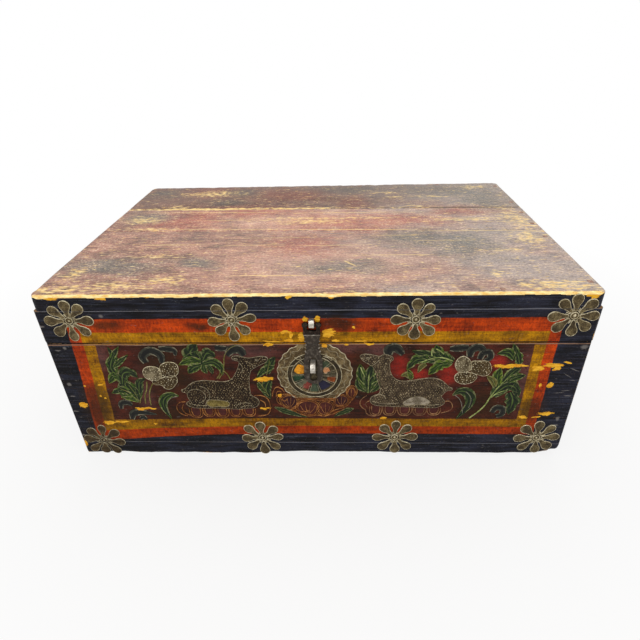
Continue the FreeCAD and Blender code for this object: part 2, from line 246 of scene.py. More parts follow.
def wandered(tree: Tree, place: Socket, grain: float, reach: float, detail: float = 2.0) -> Socket:
    """Shift a place by noise, for an edge that a hand drew or that wear left.

    Args:
        tree: The tree to build in.
        place: The place in millimetres.
        grain: The size of one wander in millimetres.
        reach: How far it wanders in millimetres.
        detail: How ragged it is.

    Returns:
        The shifted place.
    """
    cloud = add_node(tree, Node.COLOUR_CLOUD, place, 1 / grain, detail)
    centred = add_node(tree, Node.AWAY_FROM, cloud, (0.5, 0.5, 0.5))
    return add_node(tree, Node.MOVE, place, add_node(tree, Node.SCALE, centred, 2 * reach))


def streaks(
    tree: Tree, place: Socket, sizes: tuple[float, float, float], detail: float = 4.0
) -> Socket:
    """Give noise whose cells have a real length along each axis.

    Args:
        tree: The tree to build in.
        place: The place in millimetres.
        sizes: The cell's size in millimetres along x, y and z.
        detail: The noise's detail.

    Returns:
        The noise, 0 to 1.
    """
    mapped = add_node(tree, Node.STRETCH, place, tuple(1 / size for size in sizes))
    return add_node(tree, Node.CLOUD, mapped, 1.0, detail, 0.6)


def finish_with(
    tree: Tree, colour: Socket, height: Socket, depth: float, gloss: float = 0.15, **values
) -> None:
    """End a tree in a Principled shader with a bump.

    Args:
        tree: The tree to end.
        colour: The base colour.
        height: The bump's height, 0 to 1.
        depth: What a height of 1 is in millimetres.
        gloss: The specular level; dry paint has far less than the usual 0.5.
        values: Values or sockets of the shader, by their names.
    """
    normal = add_node(tree, Node.BUMP, height, depth * MM, 1.0)
    values |= {"Base Color": colour, "Specular IOR Level": gloss, "Normal": normal}
    add_node(tree, Node.SURFACE, add_node(tree, Node.PRINCIPLED, named=values))


@dataclass(frozen=True)
class Patch:
    """A spot of wear: its middle, half sizes and tilt, in millimetres and degrees."""

    across: float
    up: float
    half_long: float
    half_high: float
    tilt: float = 0.0


# Places where the base's paint has flaked off to the yellow ochre ground.
BASE_FLAKES = (
    Patch(254, 162.5, 22, 3.4, 3), Patch(271, 163.5, 8, 1.5, -3), Patch(290, 158.5, 9, 4.6),
    Patch(310, 163.3, 13, 3.3), Patch(314, 158, 5, 3.2), Patch(327, 167.5, 6, 1.4, -8),
    Patch(312.5, 130, 4.8, 5), Patch(299.5, 131, 2, 3.8, 20), Patch(317, 81, 11, 3.8, 3),
    Patch(305, 75, 7, 1.3, 5), Patch(287, 75.5, 6, 2.6, -10), Patch(-328, 95, 6.8, 5.4),
    Patch(-300, 62, 8.5, 3.8, 3), Patch(-281, 64, 11, 1.8, 2), Patch(-294.5, 130, 5, 1.5),
    Patch(-316, 128.5, 2, 1.6), Patch(-299, 111, 1.6, 1.8), Patch(-293, 108, 1.6, 1.6),
    Patch(-240, 88.5, 17, 2), Patch(-232, 61, 3.4, 1.4), Patch(-67, 141, 14, 3.8),
    Patch(-57, 196, 6, 2.8), Patch(-48, 113, 3.4, 2.8), Patch(-73, 88.5, 4, 2.6),
    Patch(-66, 90.5, 5, 0.9), Patch(15, 195, 4.4, 2.6), Patch(43, 196.5, 3.4, 1.5),
    Patch(72, 197, 7, 1.4), Patch(95, 72.5, 5, 2.2), Patch(-349, 20, 6, 9), Patch(-157, 0, 22, 2.8),
)
# The same on the lid.
LID_FLAKES = (
    Patch(-33, 215.5, 7.5, 2.2, -3), Patch(-27, 211, 3.4, 5), Patch(-30, 203.5, 7, 2.4),
    Patch(-14, 209, 3.6, 6.5), Patch(20, 215, 9, 7), Patch(29, 203.5, 5.5, 2.2, -10),
    Patch(-7.5, 235.5, 3.6, 4.4), Patch(7.2, 235.5, 3.8, 4.4), Patch(52, 222, 2, 1.8),
    Patch(-27, 266, 6, 3.4), Patch(24, 267, 4, 3.4), Patch(-322, 267, 14, 3.6),
    Patch(-258, 267, 8, 3), Patch(-200, 269, 5, 2.4), Patch(333, 267, 9, 5), Patch(60, 202, 9, 1.2),
    Patch(-52, 202, 14, 1.1),
)
# Grey scuffs, some over the ends of the dovetails.
BASE_SCUFFS = (
    Patch(-336, 188.5, 5, 1.4), Patch(-338, 132, 4, 3.6), Patch(-339, 110.5, 5, 1.2),
    Patch(-343, 83, 6, 1.2), Patch(-345, 37, 4, 2.2), Patch(338, 156, 8, 0.8, -24),
    Patch(339, 113, 6, 1.2, -5), Patch(341, 192, 6, 4), Patch(-326, 192, 3, 3),
    Patch(335, 72, 3, 5), Patch(334, 60, 6, 2), Patch(331, 147, 9, 0.6, -33),
    Patch(339, 139, 5, 0.6, -10), Patch(326, 118, 9, 0.6, 6), Patch(334, 122, 7, 0.7, 4),
)
LID_SCUFFS = (Patch(-346, 226, 6, 1.8), Patch(-264, 241, 3.4, 3.4))
# Parts of the front where the colour has gone dark and brown.
BASE_GRIME = (
    Patch(-306, 92, 26, 48), Patch(-314, 84, 9, 56), Patch(297, 88, 22, 26),
    Patch(-196, 150, 40, 50), Patch(-205, 78, 40, 14), Patch(225, 100, 34, 34),
    Patch(-75, 92, 20, 22), Patch(60, 150, 16, 40),
)
LID_GRIME = (Patch(34, 228, 32, 12), Patch(-262, 226, 26, 9), Patch(-142, 226, 20, 8))
# Parts of the field that kept a brighter red.
RED_FIELD = (
    Patch(112, 162, 16, 24), Patch(140, 150, 16, 12), Patch(176, 150, 16, 22),
    Patch(238, 170, 16, 18),
)
# Parts of the field that are dulled by a mauve bloom.
BLOOM = (
    Patch(-85, 186, 46, 16), Patch(40, 192, 40, 10), Patch(-282, 178, 18, 24),
    Patch(278, 140, 16, 54), Patch(84, 188, 30, 10), Patch(-236, 120, 12, 40),
)
# Where the planks meet: each joint's y in the middle, and how much it slants.
BASE_JOINTS = ((-68.0, 0.0), (82.0, 0.0))
LID_JOINTS = ((-23.0, -0.0229), (86.0, -0.0229))
# Slate grey stains on the top, by x and y.
SLATE = (
    Patch(60, 205, 100, 34), Patch(-160, 190, 34, 28), Patch(235, 190, 140, 56),
    Patch(-175, 128, 44, 26), Patch(208, -86, 60, 62), Patch(300, 130, 60, 90),
    Patch(-280, -150, 90, 36), Patch(-165, -150, 40, 20), Patch(40, -160, 90, 26),
    Patch(-320, 190, 40, 40), Patch(-290, 50, 60, 30), Patch(150, -60, 60, 50),
)
# The paler middle of the top: dust, with a painted sheen.
PALE = (Patch(0, -150, 190, 84), Patch(-20, 20, 170, 70))
# Warm red-brown parts of the top.
WARM = (
    Patch(-60, 170, 70, 40), Patch(-230, 40, 80, 60), Patch(30, 10, 90, 50),
    Patch(-20, -80, 60, 50), Patch(-120, 80, 120, 40), Patch(262, 60, 60, 22),
    Patch(140, 20, 80, 30), Patch(60, 110, 30, 50), Patch(-215, 200, 60, 40),
)
# Yellow rubbed places of the top.
RUBBED = (
    Patch(-322, -222, 44, 13), Patch(-250, -214, 36, 9), Patch(-185, -196, 24, 10),
    Patch(-190, 91, 90, 4), Patch(-20, 90, 60, 3), Patch(-262, 104, 14, 9), Patch(140, 150, 12, 6),
    Patch(205, 148, 36, 4), Patch(322, 20, 16, 46), Patch(318, -62, 20, 26),
    Patch(300, -216, 46, 12), Patch(-300, 34, 26, 14), Patch(-278, -10, 34, 6),
    Patch(-215, 186, 50, 14), Patch(-10, 16, 46, 8), Patch(176, 92, 20, 4), Patch(296, 204, 16, 8),
    Patch(248, 20, 60, 5), Patch(20, 34, 120, 5), Patch(262, -108, 26, 6),
    Patch(-318, -176, 12, 16), Patch(-225, -118, 30, 5), Patch(236, -182, 8, 5),
    Patch(120, 176, 20, 4),
)
# Long scratches in the top, by x and y.
SCRATCHES = (
    Patch(-175, -11, 150, 1.1, -2.2), Patch(40, -20, 130, 1.5, -2), Patch(250, -32, 100, 1.3, -1.5),
    Patch(120, -47, 44, 1.2, -1), Patch(-215, -76, 56, 1.3, -1), Patch(-95, -80, 55, 1, -0.6),
    Patch(20, -84, 60, 1, 0), Patch(110, -122, 60, 1.1, 0), Patch(-55, -184, 60, 1.2, -1),
    Patch(-20, 22, 70, 1, -1), Patch(255, 26, 82, 1.1, -1), Patch(-150, 30, 60, 0.9, 0),
    Patch(48, -148, 16, 1.6, -50), Patch(235, -187, 4, 3, 30), Patch(-60, -52, 90, 0.8, 0),
    Patch(190, -70, 60, 0.8, 0), Patch(-190, 72, 130, 1.3, -1.6), Patch(60, 62, 130, 1.2, -1),
)


def patch_group(name: str, patches: tuple[Patch, ...], level: bool = False) -> Tree:
    """Build a group that says how near a place is to the middle of a patch.

    Args:
        name: The group's name.
        patches: The patches.
        level: True where they lie on the top and not on the front.

    Returns:
        The group: its input is a place in millimetres, and its output is 1 in the
        middle of a patch, 0 at its edge and less outside.
    """
    tree = bpy.data.node_groups.new(name, "ShaderNodeTree")
    tree.interface.new_socket("Place", in_out="INPUT", socket_type="NodeSocketVector")
    tree.interface.new_socket("Near", in_out="OUTPUT", socket_type="NodeSocketFloat")
    place = add_node(tree, Node.GROUP_INPUT)
    nearest = None
    # a patch reaches right through the board
    far = 1000.0
    for patch in patches:
        middle, half = (patch.across, 0, patch.up), (patch.half_long, far, patch.half_high)
        turn = (0, math.radians(-patch.tilt), 0)
        if level:
            middle, half = (patch.across, patch.up, 0), (patch.half_long, patch.half_high, far)
            turn = (0, 0, math.radians(patch.tilt))
        inside = add_node(tree, Node.OWN_FRAME, place, middle, turn, half)
        reach = add_node(tree, Node.LENGTH, inside)
        nearest = add_node(tree, Node.MINIMUM, nearest, reach) if nearest else reach
    add_node(tree, Node.GROUP_OUTPUT, add_node(tree, Node.SUBTRACT, 1.0, nearest))
    return tree


def edge_group() -> Tree:
    """Build a group that gives the distance to the trunk's nearest outside edge."""
    tree = bpy.data.node_groups.new("edge_distance", "ShaderNodeTree")
    tree.interface.new_socket("Place", in_out="INPUT", socket_type="NodeSocketVector")
    tree.interface.new_socket("Distance", in_out="OUTPUT", socket_type="NodeSocketFloat")
    place = add_node(tree, Node.GROUP_INPUT)
    corner = (TRUNK.lid_half_width, -TRUNK.lid_front, 0)
    left = add_node(tree, Node.AWAY_FROM, corner, add_node(tree, Node.UNSIGNED, place))
    across, deep, _ = add_node(tree, Node.SPLIT, left).node.outputs
    height = add_node(tree, Node.SPLIT, place).node.outputs[2]
    level = add_node(tree, Node.MINIMUM, add_node(tree, Node.SUBTRACT, TRUNK.top, height), height)
    low = add_node(tree, Node.MINIMUM, across, deep)
    high = add_node(tree, Node.MAXIMUM, across, deep)
    middle = add_node(tree, Node.MINIMUM, high, level)
    add_node(tree, Node.GROUP_OUTPUT, add_node(tree, Node.MAXIMUM, low, middle))
    return tree


class Wear:
    """The groups that every painted finish shares, built once."""

    def __init__(self) -> None:
        """Build the groups."""
        self.flakes, self.scuffs, self.grime = (
            {"base": patch_group("base_" + name, base), "lid": patch_group("lid_" + name, lid)}
            for name, base, lid in (
                ("flakes", BASE_FLAKES, LID_FLAKES),
                ("scuffs", BASE_SCUFFS, LID_SCUFFS),
                ("browned", BASE_GRIME, LID_GRIME),
            )
        )
        self.red_field = patch_group("bright_field", RED_FIELD)
        self.bloom = patch_group("mauve_bloom", BLOOM)
        self.slate = patch_group("slate_stains", SLATE, level=True)
        self.warm = patch_group("warm_paint", WARM, level=True)
        # the paler middle of the top: dust with a painted sheen
        self.pale = patch_group("dust_and_sheen_middle", PALE, level=True)
        self.rubbed = patch_group("rubbed_paint", RUBBED, level=True)
        self.scratches = patch_group("long_scratches", SCRATCHES, level=True)
        self.edges = edge_group()

    def near(self, tree: Tree, group: Tree, place: Socket) -> Socket:
        """Use one of the groups in a tree."""
        return add_node(tree, Node.GROUP, place, node_tree=group)

    def flaked(self, tree: Tree, place: Socket, body: str = "base") -> Socket:
        """Mask the flaked paint of a body with a crisp edge.

        Args:
            tree: The tree to build in.
            place: The place in millimetres.
            body: The body whose flakes are meant.

        Returns:
            The mask, 0 or 1.
        """
        near = self.near(tree, self.flakes[body], wandered(tree, place, 11.0, 3.4))
        chips = streaks(tree, place, (4.6, 4.0, 2.4), 4)
        chips = add_node(tree, Node.MULTIPLY_ADD, chips, 1.7, -0.85)
        return add_node(tree, Node.RANGE, add_node(tree, Node.ADD, near, chips), 0.0, 0.12)


WEAR = Wear()


def edge_wear(tree: Tree, place: Socket, reach: float, ragged: float) -> tuple[Socket, Socket]:
    """Mask the outside edges where the paint has rubbed through.

    Args:
        tree: The tree to build in.
        place: The place in millimetres.
        reach: How far from the edge it goes, in millimetres.
        ragged: How much that varies, in millimetres.

    Returns:
        The mask, and how bright the bare ground is.
    """
    coarse = streaks(tree, place, (18, 4, 3.4), 5)
    swing = add_node(tree, Node.RANGE, coarse, 0.3, 0.7, -ragged, ragged)
    near = add_node(tree, Node.ADD, WEAR.near(tree, WEAR.edges, place), swing)
    bright = add_node(tree, Node.RANGE, streaks(tree, place, (9, 5, 2), 4), 0.35, 0.65)
    return add_node(tree, Node.RANGE, near, reach, reach - 0.6), bright


@dataclass(frozen=True)
class FrontPaint:
    """Distemper over an ochre ground on poplar: flat, brushed, flaked at the edges.

    To the eye it is matt, its bands were brushed by hand and wander a little, and
    where it has flaked the bright ochre ground shows with a crisp edge.
    """

    name: str = "distemper_front_bands"
    body: str = "base"
    indigo: tuple[str, str] = ("#0d0e12", "#2a2c3a")
    thin: str = "#4d4f58"
    orange: tuple[str, str] = ("#701f08", "#d64c0f")
    mustard: tuple[str, str] = ("#633806", "#ca8d08")
    maroon: tuple[str, str] = ("#27150e", "#5c291e")
    red: str = "#92281e"
    bloom: str = "#6a4642"
    brown: str = "#33200f"
    # dark soot, which is also the painted shadow in the gap under the lid
    soot: str = "#150e0a"
    shake: str = "#17110e"
    # the worn rim below the gap with a painted highlight on it, then the pale painted highlight
    # along the joints
    rim: str = "#94725c"
    joint_highlight: str = "#7e8089"
    ground: tuple[str, str] = ("#cd8816", "#f4bd38")
    scuff: str = "#77726e"
    # one band of the painted frame, its soft edge, and where its outer lines run
    band: float = 15.0
    soft: float = 0.4
    left_line: float = 326.0
    right_line: float = 307.3
    head_line: float = 236.3
    foot_line: float = 42.5
    foot_tall: float = 28.5

    def insets(self, tree: Tree, place: Socket) -> Socket:
        """Measure how far a place is inside the painted frame, 0 at its outer line.

        Args:
            tree: The tree to build in.
            place: The place, already wandered.

        Returns:
            The inset: one band is 15 and the field starts at 30.
        """
        across, _, up = add_node(tree, Node.SPLIT, place).node.outputs
        # the left upright leans out to the foot, and the right one stands nearly straight
        left = add_node(tree, Node.ADD, across, self.left_line)
        left = add_node(tree, Node.SUBTRACT, left, add_node(tree, Node.MULTIPLY, up, 0.057))
        left = add_node(tree, Node.MULTIPLY, left, 0.95)
        right = add_node(tree, Node.SUBTRACT, self.right_line, across)
        right = add_node(tree, Node.MULTIPLY, right, 1.08)
        # the foot band sinks towards the left end
        out = add_node(tree, Node.MINIMUM, across, 0.0)
        bow = add_node(tree, Node.MULTIPLY, out, out)
        low = add_node(tree, Node.MULTIPLY_ADD, bow, -0.000166, self.foot_line)
        tall = add_node(tree, Node.MULTIPLY_ADD, bow, 0.000115, self.foot_tall)
        foot = add_node(tree, Node.DIVIDE, add_node(tree, Node.SUBTRACT, up, low), tall)
        foot = add_node(tree, Node.MULTIPLY, foot, 2 * self.band)
        head = add_node(tree, Node.SUBTRACT, self.head_line, up)
        head = add_node(tree, Node.MULTIPLY, head, 0.76)
        sides = add_node(tree, Node.MINIMUM, left, right)
        return add_node(tree, Node.MINIMUM, sides, add_node(tree, Node.MINIMUM, foot, head))

    def border(self, tree: Tree, place: Socket, combed: Socket, thinned: Socket) -> Socket:
        """Paint the dark border, nearly black at the left end.

        Args:
            tree: The tree to build in.
            place: The place in millimetres.
            combed: How light the brush left it, 0 to 1.
            thinned: Where the brush had run dry.

        Returns:
            Its colour.
        """
        across = add_node(tree, Node.SPLIT, place)
        lit = add_node(tree, Node.RANGE, across, -340.0, -60.0, 0.45, 1.0)
        lit = add_node(tree, Node.MULTIPLY, combed, lit)
        strokes = streaks(tree, place, (40, 20, 5), 6)
        strokes = add_node(tree, Node.RANGE, strokes, 0.3, 0.7, -0.6, 0.6)
        lit = add_node(tree, Node.MAXIMUM, add_node(tree, Node.ADD, lit, strokes), 0.0)
        colour = add_node(tree, Node.MIX, lit, *self.indigo)
        return shaded(tree, colour, self.thin, thinned, 0.82, 0.98, 0.55)

    def field(self, tree: Tree, place: Socket, mottled: Socket) -> Socket:
        """Paint the maroon field, redder and duller in places on the base.

        Args:
            tree: The tree to build in.
            place: The place in millimetres.
            mottled: The noise between its two tones.

        Returns:
            Its colour.
        """
        colour = shaded(tree, *self.maroon, mottled, 0.6, 1.15)
        if self.body == "base":
            near = WEAR.near(tree, WEAR.red_field, wandered(tree, place, 14, 5))
            colour = shaded(tree, colour, self.red, near, 0.0, 0.6)
            near = WEAR.near(tree, WEAR.bloom, wandered(tree, place, 12, 6))
            colour = shaded(tree, colour, self.bloom, near, -0.3, 0.7, 0.6)
        return colour

    def gap_shadow_and_highlights(
        self, tree: Tree, place: Socket, colour: Socket, level: Socket, fine: Socket
    ) -> Socket:
        """Paint the shadow in the lid's gap, and highlights on the worn rim below it and on the
        joints.

        Args:
            tree: The tree to build in.
            place: The place in millimetres.
            colour: The colour so far.
            level: Noise drawn out along the boards.
            fine: Fine noise.

        Returns:
            The new colour.
        """
        height = add_node(tree, Node.SPLIT, wandered(tree, place, 16, 0.5)).node.outputs[2]
        # painted light: a dark shadow painted into the gap at the parting, a pale band below it
        # that is the worn rim with a painted highlight, and pale painted highlights on the two
        # joints
        for middle, half, shade, most in (
            (TRUNK.parting, 1.3, self.soot, 0.95), (TRUNK.parting - 3.0, 0.8, self.rim, 0.85),
            (TRUNK.lid_joint, 0.5, self.joint_highlight, 0.7), (TRUNK.foot_joint, 0.45, self.joint_highlight, 0.5),
        ):
            off = add_node(tree, Node.ABSOLUTE, add_node(tree, Node.SUBTRACT, height, middle))
            edges = (half + 0.4, half - 0.4)
            if shade != self.soot:
                off = summed(tree, off, (level, -2.6 * half), (fine, -0.6 * half))
                edges = (-0.4 * half, -0.9 * half)
            colour = shaded(tree, colour, shade, off, *edges, most)
        return colour

    def dirt_and_painted_light(
        self, tree: Tree, place: Socket, colour: Socket, inset: Socket, level: Socket, fine: Socket
    ) -> Socket:
        """Lay years of dirt, shakes and scuffs, and the painted gap shadow and highlights, over the
        paint.

        Args:
            tree: The tree to build in.
            place: The place in millimetres.
            colour: The colour so far.
            inset: How far inside the painted frame the place is.
            level: Noise drawn out along the boards.
            fine: Fine noise.

        Returns:
            The new colour.
        """
        near = WEAR.near(tree, WEAR.grime[self.body], wandered(tree, place, 20, 8))
        browned = add_node(tree, Node.RANGE, near, -0.2, 0.5, 0.0, 0.8)
        # the front grows darker and browner towards its foot
        height = add_node(tree, Node.SPLIT, place).node.outputs[2]
        low = add_node(tree, Node.RANGE, height, 105.0, 60.0, 0.0, 0.26)
        banded = add_node(tree, Node.RANGE, inset, -self.soft, self.soft)
        low = add_node(tree, Node.MULTIPLY, low, banded)
        colour = add_node(tree, Node.MIX, greatest(tree, browned, low), colour, self.brown)
        # old dirt lies in clouds and in fine specks
        smudge = summed(tree, streaks(tree, place, (30, 30, 11), 6), (fine, 0.5))
        smudge = add_node(tree, Node.RANGE, smudge, 0.72, 0.98, 0.0, 0.75)
        grit = add_node(tree, Node.RANGE, fine, 0.46, 0.34, 0.0, 0.7)
        colour = add_node(tree, Node.MIX, greatest(tree, smudge, grit), colour, self.soot)
        colour = self.gap_shadow_and_highlights(tree, place, colour, level, fine)
        # hairline shakes along the boards, drawn 0.6 mm wide so that they show
        shakes = streaks(tree, place, (90, 40, 1.3), 2)
        colour = shaded(tree, colour, self.shake, shakes, 0.66, 0.72, 0.55)
        # grey scuffs and pale specks of dust and lost paint
        near = WEAR.near(tree, WEAR.scuffs[self.body], wandered(tree, place, 4, 1.6, 4))
        scuffed = add_node(tree, Node.RANGE, near, 0.0, 0.5, 0.0, 0.75)
        rubs = add_node(tree, Node.RANGE, streaks(tree, place, (7, 8, 3), 6), 0.64, 0.74, 0.0, 0.5)
        specks = add_node(tree, Node.RANGE, fine, 0.66, 0.74, 0.0, 0.55)
        scuffed = greatest(tree, scuffed, rubs, specks)
        return add_node(tree, Node.MIX, scuffed, colour, self.scuff)

    def material(self) -> Material:
        """Build the material."""
        material, tree = new_material(self.name)
        place = place_in_mm(tree)
        inset = self.insets(tree, wandered(tree, wandered(tree, place, 45.0, 1.3), 6.0, 0.5))
        upright = streaks(tree, place, (2.8, 20, 8), 6)
        level = streaks(tree, place, (60, 20, 1.6), 5)
        cloud = streaks(tree, place, (46, 40, 26), 4)
        fine = streaks(tree, place, (2.2, 3, 1.7), 4)
        brushed = summed(tree, cloud, (upright, 0.75), (level, 0.5))
        brushed = add_node(tree, Node.RANGE, brushed, 0.86, 1.34)
        combed = add_node(tree, Node.RANGE, add_node(tree, Node.ADD, level, cloud), 0.8, 1.2)
        colour = self.border(tree, place, combed, summed(tree, level, (fine, 0.5)))
        orange, mustard = (
            add_node(tree, Node.MIX, brushed, *tones) for tones in (self.orange, self.mustard)
        )
        inner = self.field(tree, place, summed(tree, cloud, (combed, 0.45), (fine, 0.35)))
        for step, tone in enumerate((orange, mustard, inner)):
            begins = step * self.band
            colour = shaded(tree, colour, tone, inset, begins - self.soft, begins + self.soft)
        colour = self.dirt_and_painted_light(tree, place, colour, inset, level, fine)
        bare, bright = edge_wear(tree, place, 1.4, 2.0)
        bare = greatest(tree, bare, WEAR.flaked(tree, place, self.body))
        ground = add_node(tree, Node.MIX, bright, *self.ground)
        colour = add_node(tree, Node.MIX, bare, colour, ground)
        # the bump reads the brushwork only: with the flakes in it the shader outgrows Cycles
        relief = summed(tree, fine, (level, 0.8))
        rough = add_node(tree, Node.RANGE, cloud, 0.3, 0.7, 0.5, 0.68)
        finish_with(tree, colour, relief, 0.45, 0.1, Roughness=rough)
        return material


@dataclass(frozen=True)
class TopPaint:
    """Red-brown distemper on the top, worn by use to grey and to its ochre ground.

    To the eye it is a dry skin of dust with fine scratches along the grain, slate
    grey stains, and a bright rubbed front edge; it shines a little where polished.
    Its paler middle is dust with a painted sheen, its greyer right end a painted
    reflection, and its darker rear plank painted shade.
    """

    name: str = "worn_distemper_top"
    body: tuple[str, str] = ("#5a3a2e", "#b68270")
    # the paler middle: dust with a painted sheen
    pale: str = "#d0a08c"
    # a painted reflection that greys the right end
    grey: str = "#a09690"
    red: str = "#a03e2b"
    slate: str = "#565a55"
    dark: str = "#38241b"
    dust: str = "#dcc3a6"
    ground: tuple[str, str] = ("#dba94c", "#fbe6a6")

    def stained(
        self, tree: Tree, place: Socket, colour: Socket, grain: Socket, hair: Socket, speck: Socket
    ) -> Socket:
        """Lay the paler middle, dust with a painted sheen, and the red and slate stains over the
        top, broken by its grain.

        Args:
            tree: The tree to build in.
            place: The place in millimetres.
            colour: The colour so far.
            grain: The wood's grain.
            hair: Hairlines along it.
            speck: Specks of lost paint.

        Returns:
            The new colour.
        """
        spread = wandered(tree, wandered(tree, place, 60, 26, 3), 12, 6, 4)
        # the paler middle: dust with a painted sheen
        dust_and_sheen = summed(tree, WEAR.near(tree, WEAR.pale, spread), (hair, 0.6))
        colour = shaded(tree, colour, self.pale, dust_and_sheen, 0.1, 0.9, 0.52)
        for group, shade, low, most in (
            (WEAR.warm, self.red, 0.8, 0.6), (WEAR.slate, self.slate, 0.82, 0.8),
        ):
            near = WEAR.near(tree, group, spread)
            broken = summed(tree, grain, (near, 0.32), (hair, 0.4), (speck, 0.35))
            colour = shaded(tree, colour, shade, broken, low, low + 0.26, most)
        return colour

    def material(self) -> Material:
        """Build the material."""
        material, tree = new_material(self.name)
        place = place_in_mm(tree)
        across = add_node(tree, Node.SPLIT, place)
        grain = streaks(tree, place, (46, 1.7, 30), 6)
        hair = streaks(tree, place, (20, 0.9, 10), 4)
        cloud = streaks(tree, place, (42, 22, 30), 5)
        haze = streaks(tree, place, (120, 60, 60), 3)
        # specks of lost paint, coarsened to 9 by 5 mm so that the far ones still show
        speck = streaks(tree, place, (9, 5, 5), 7)
        tone = summed(tree, add_node(tree, Node.ADD, grain, cloud), (speck, 0.4))
        colour = shaded(tree, *self.body, tone, 0.98, 1.42)
        # painted reflection: the right end is painted greyer, as if it mirrored a bright window
        right = summed(tree, haze, (across, 0.0011))
        colour = shaded(tree, colour, self.grey, right, 0.4, 0.85, 0.8)
        colour = self.stained(tree, place, colour, grain, hair, speck)
        # dark and dusty hairlines along the grain, drawn 0.9 mm wide so that they show
        colour = shaded(tree, colour, self.dark, hair, 0.54, 0.66, 0.8)
        colour = shaded(tree, colour, self.dust, hair, 0.44, 0.32, 0.75)
        # grit: light and dark specks of 3 mm, coarsened so that they show
        grit = summed(tree, streaks(tree, place, (3.4, 2.8, 3), 5), (cloud, 0.4))
        colour = shaded(tree, colour, self.dust, grit, 0.75, 0.91, 0.78)
        colour = shaded(tree, colour, self.dark, grit, 0.66, 0.5, 0.66)
        # painted shade: the rear plank, which gets less sheen, is darker, less so to the right, and
        # the joint before it is a dark line
        middle, slant = LID_JOINTS[1]
        back = add_node(tree, Node.SPLIT, wandered(tree, place, 30, 0.8)).node.outputs[1]
        back = summed(tree, back, (across, -slant))
        behind = add_node(tree, Node.RANGE, back, middle - 2.0, middle + 2.0)
        fading = add_node(tree, Node.RANGE, across, 60.0, 280.0, 0.58, 0.1)
        joint = add_node(tree, Node.ABSOLUTE, add_node(tree, Node.ADD, back, -middle))
        line = add_node(tree, Node.RANGE, joint, 2.4, 1.2, 0.0, 0.85)
        behind = greatest(tree, add_node(tree, Node.MULTIPLY, behind, fading), line)
        colour = add_node(tree, Node.MIX, behind, colour, self.dark)
        bare = self.bared(tree, place, joint, grain, speck)
        ground = shaded(tree, *self.ground, streaks(tree, place, (9, 3, 3), 3), 0.3, 0.7)
        colour = add_node(tree, Node.MIX, bare, colour, ground)
        relief = summed(tree, speck, (grain, 1.3))
        rough = add_node(tree, Node.RANGE, cloud, 0.3, 0.7, 0.42, 0.6)
        finish_with(tree, colour, relief, 0.45, 0.32, Roughness=rough)
        return material

    def bared(
        self, tree: Tree, place: Socket, joint: Socket, grain: Socket, speck: Socket
    ) -> Socket:
        """Mask where use has bared the ground: at edges, in rubbed places and in scratches.

        Args:
            tree: The tree to build in.
            place: The place in millimetres.
            joint: The distance to the rear plank's joint.
            grain: The wood's grain.
            speck: Specks of lost paint.

        Returns:
            The mask.
        """
        near = WEAR.near(tree, WEAR.rubbed, wandered(tree, place, 30, 14, 3))
        wish = add_node(tree, Node.RANGE, near, -0.9, 0.9, 0.0, 0.13)
        chipped = add_node(tree, Node.RANGE, joint, 7.5, 1.5, 0.0, 0.1)
        across, deep, _ = add_node(tree, Node.SPLIT, place).node.outputs
        fewer = add_node(tree, Node.RANGE, across, -150.0, 200.0, 1.0, 0.35)
        # rubbed places are broken up along the grain, in dashes of 14 by 3 mm
        dash = streaks(tree, place, (14, 3, 10), 6)
        rubbed = summed(tree, wish, (chipped, fewer), (grain, 0.35), (dash, 0.55), (speck, 0.45))
        rubbed = add_node(tree, Node.RANGE, rubbed, 0.735, 0.83, 0.0, 0.85)
        near = WEAR.near(tree, WEAR.scratches, wandered(tree, place, 60, 1.2, 2))
        scratched = add_node(tree, Node.RANGE, summed(tree, near, (speck, 1.6)), 0.7, 1.0, 0.0, 0.6)
        # only the front edge is worn bright: hands and the lid's weight rest on it
        front = summed(tree, add_node(tree, Node.ADD, deep, -TRUNK.lid_front), (speck, 6.0))
        front = add_node(tree, Node.RANGE, front, 7.6, 6.2)
        edges, _ = edge_wear(tree, place, 1.0, 2.4)
        return greatest(tree, add_node(tree, Node.MULTIPLY, edges, 0.45), front, rubbed, scratched)


class Axis(Enum):
    """The way the grain runs."""

    ALONG_X = (240.0, 3.2, 3.2)
    ALONG_Y = (3.2, 240.0, 3.2)


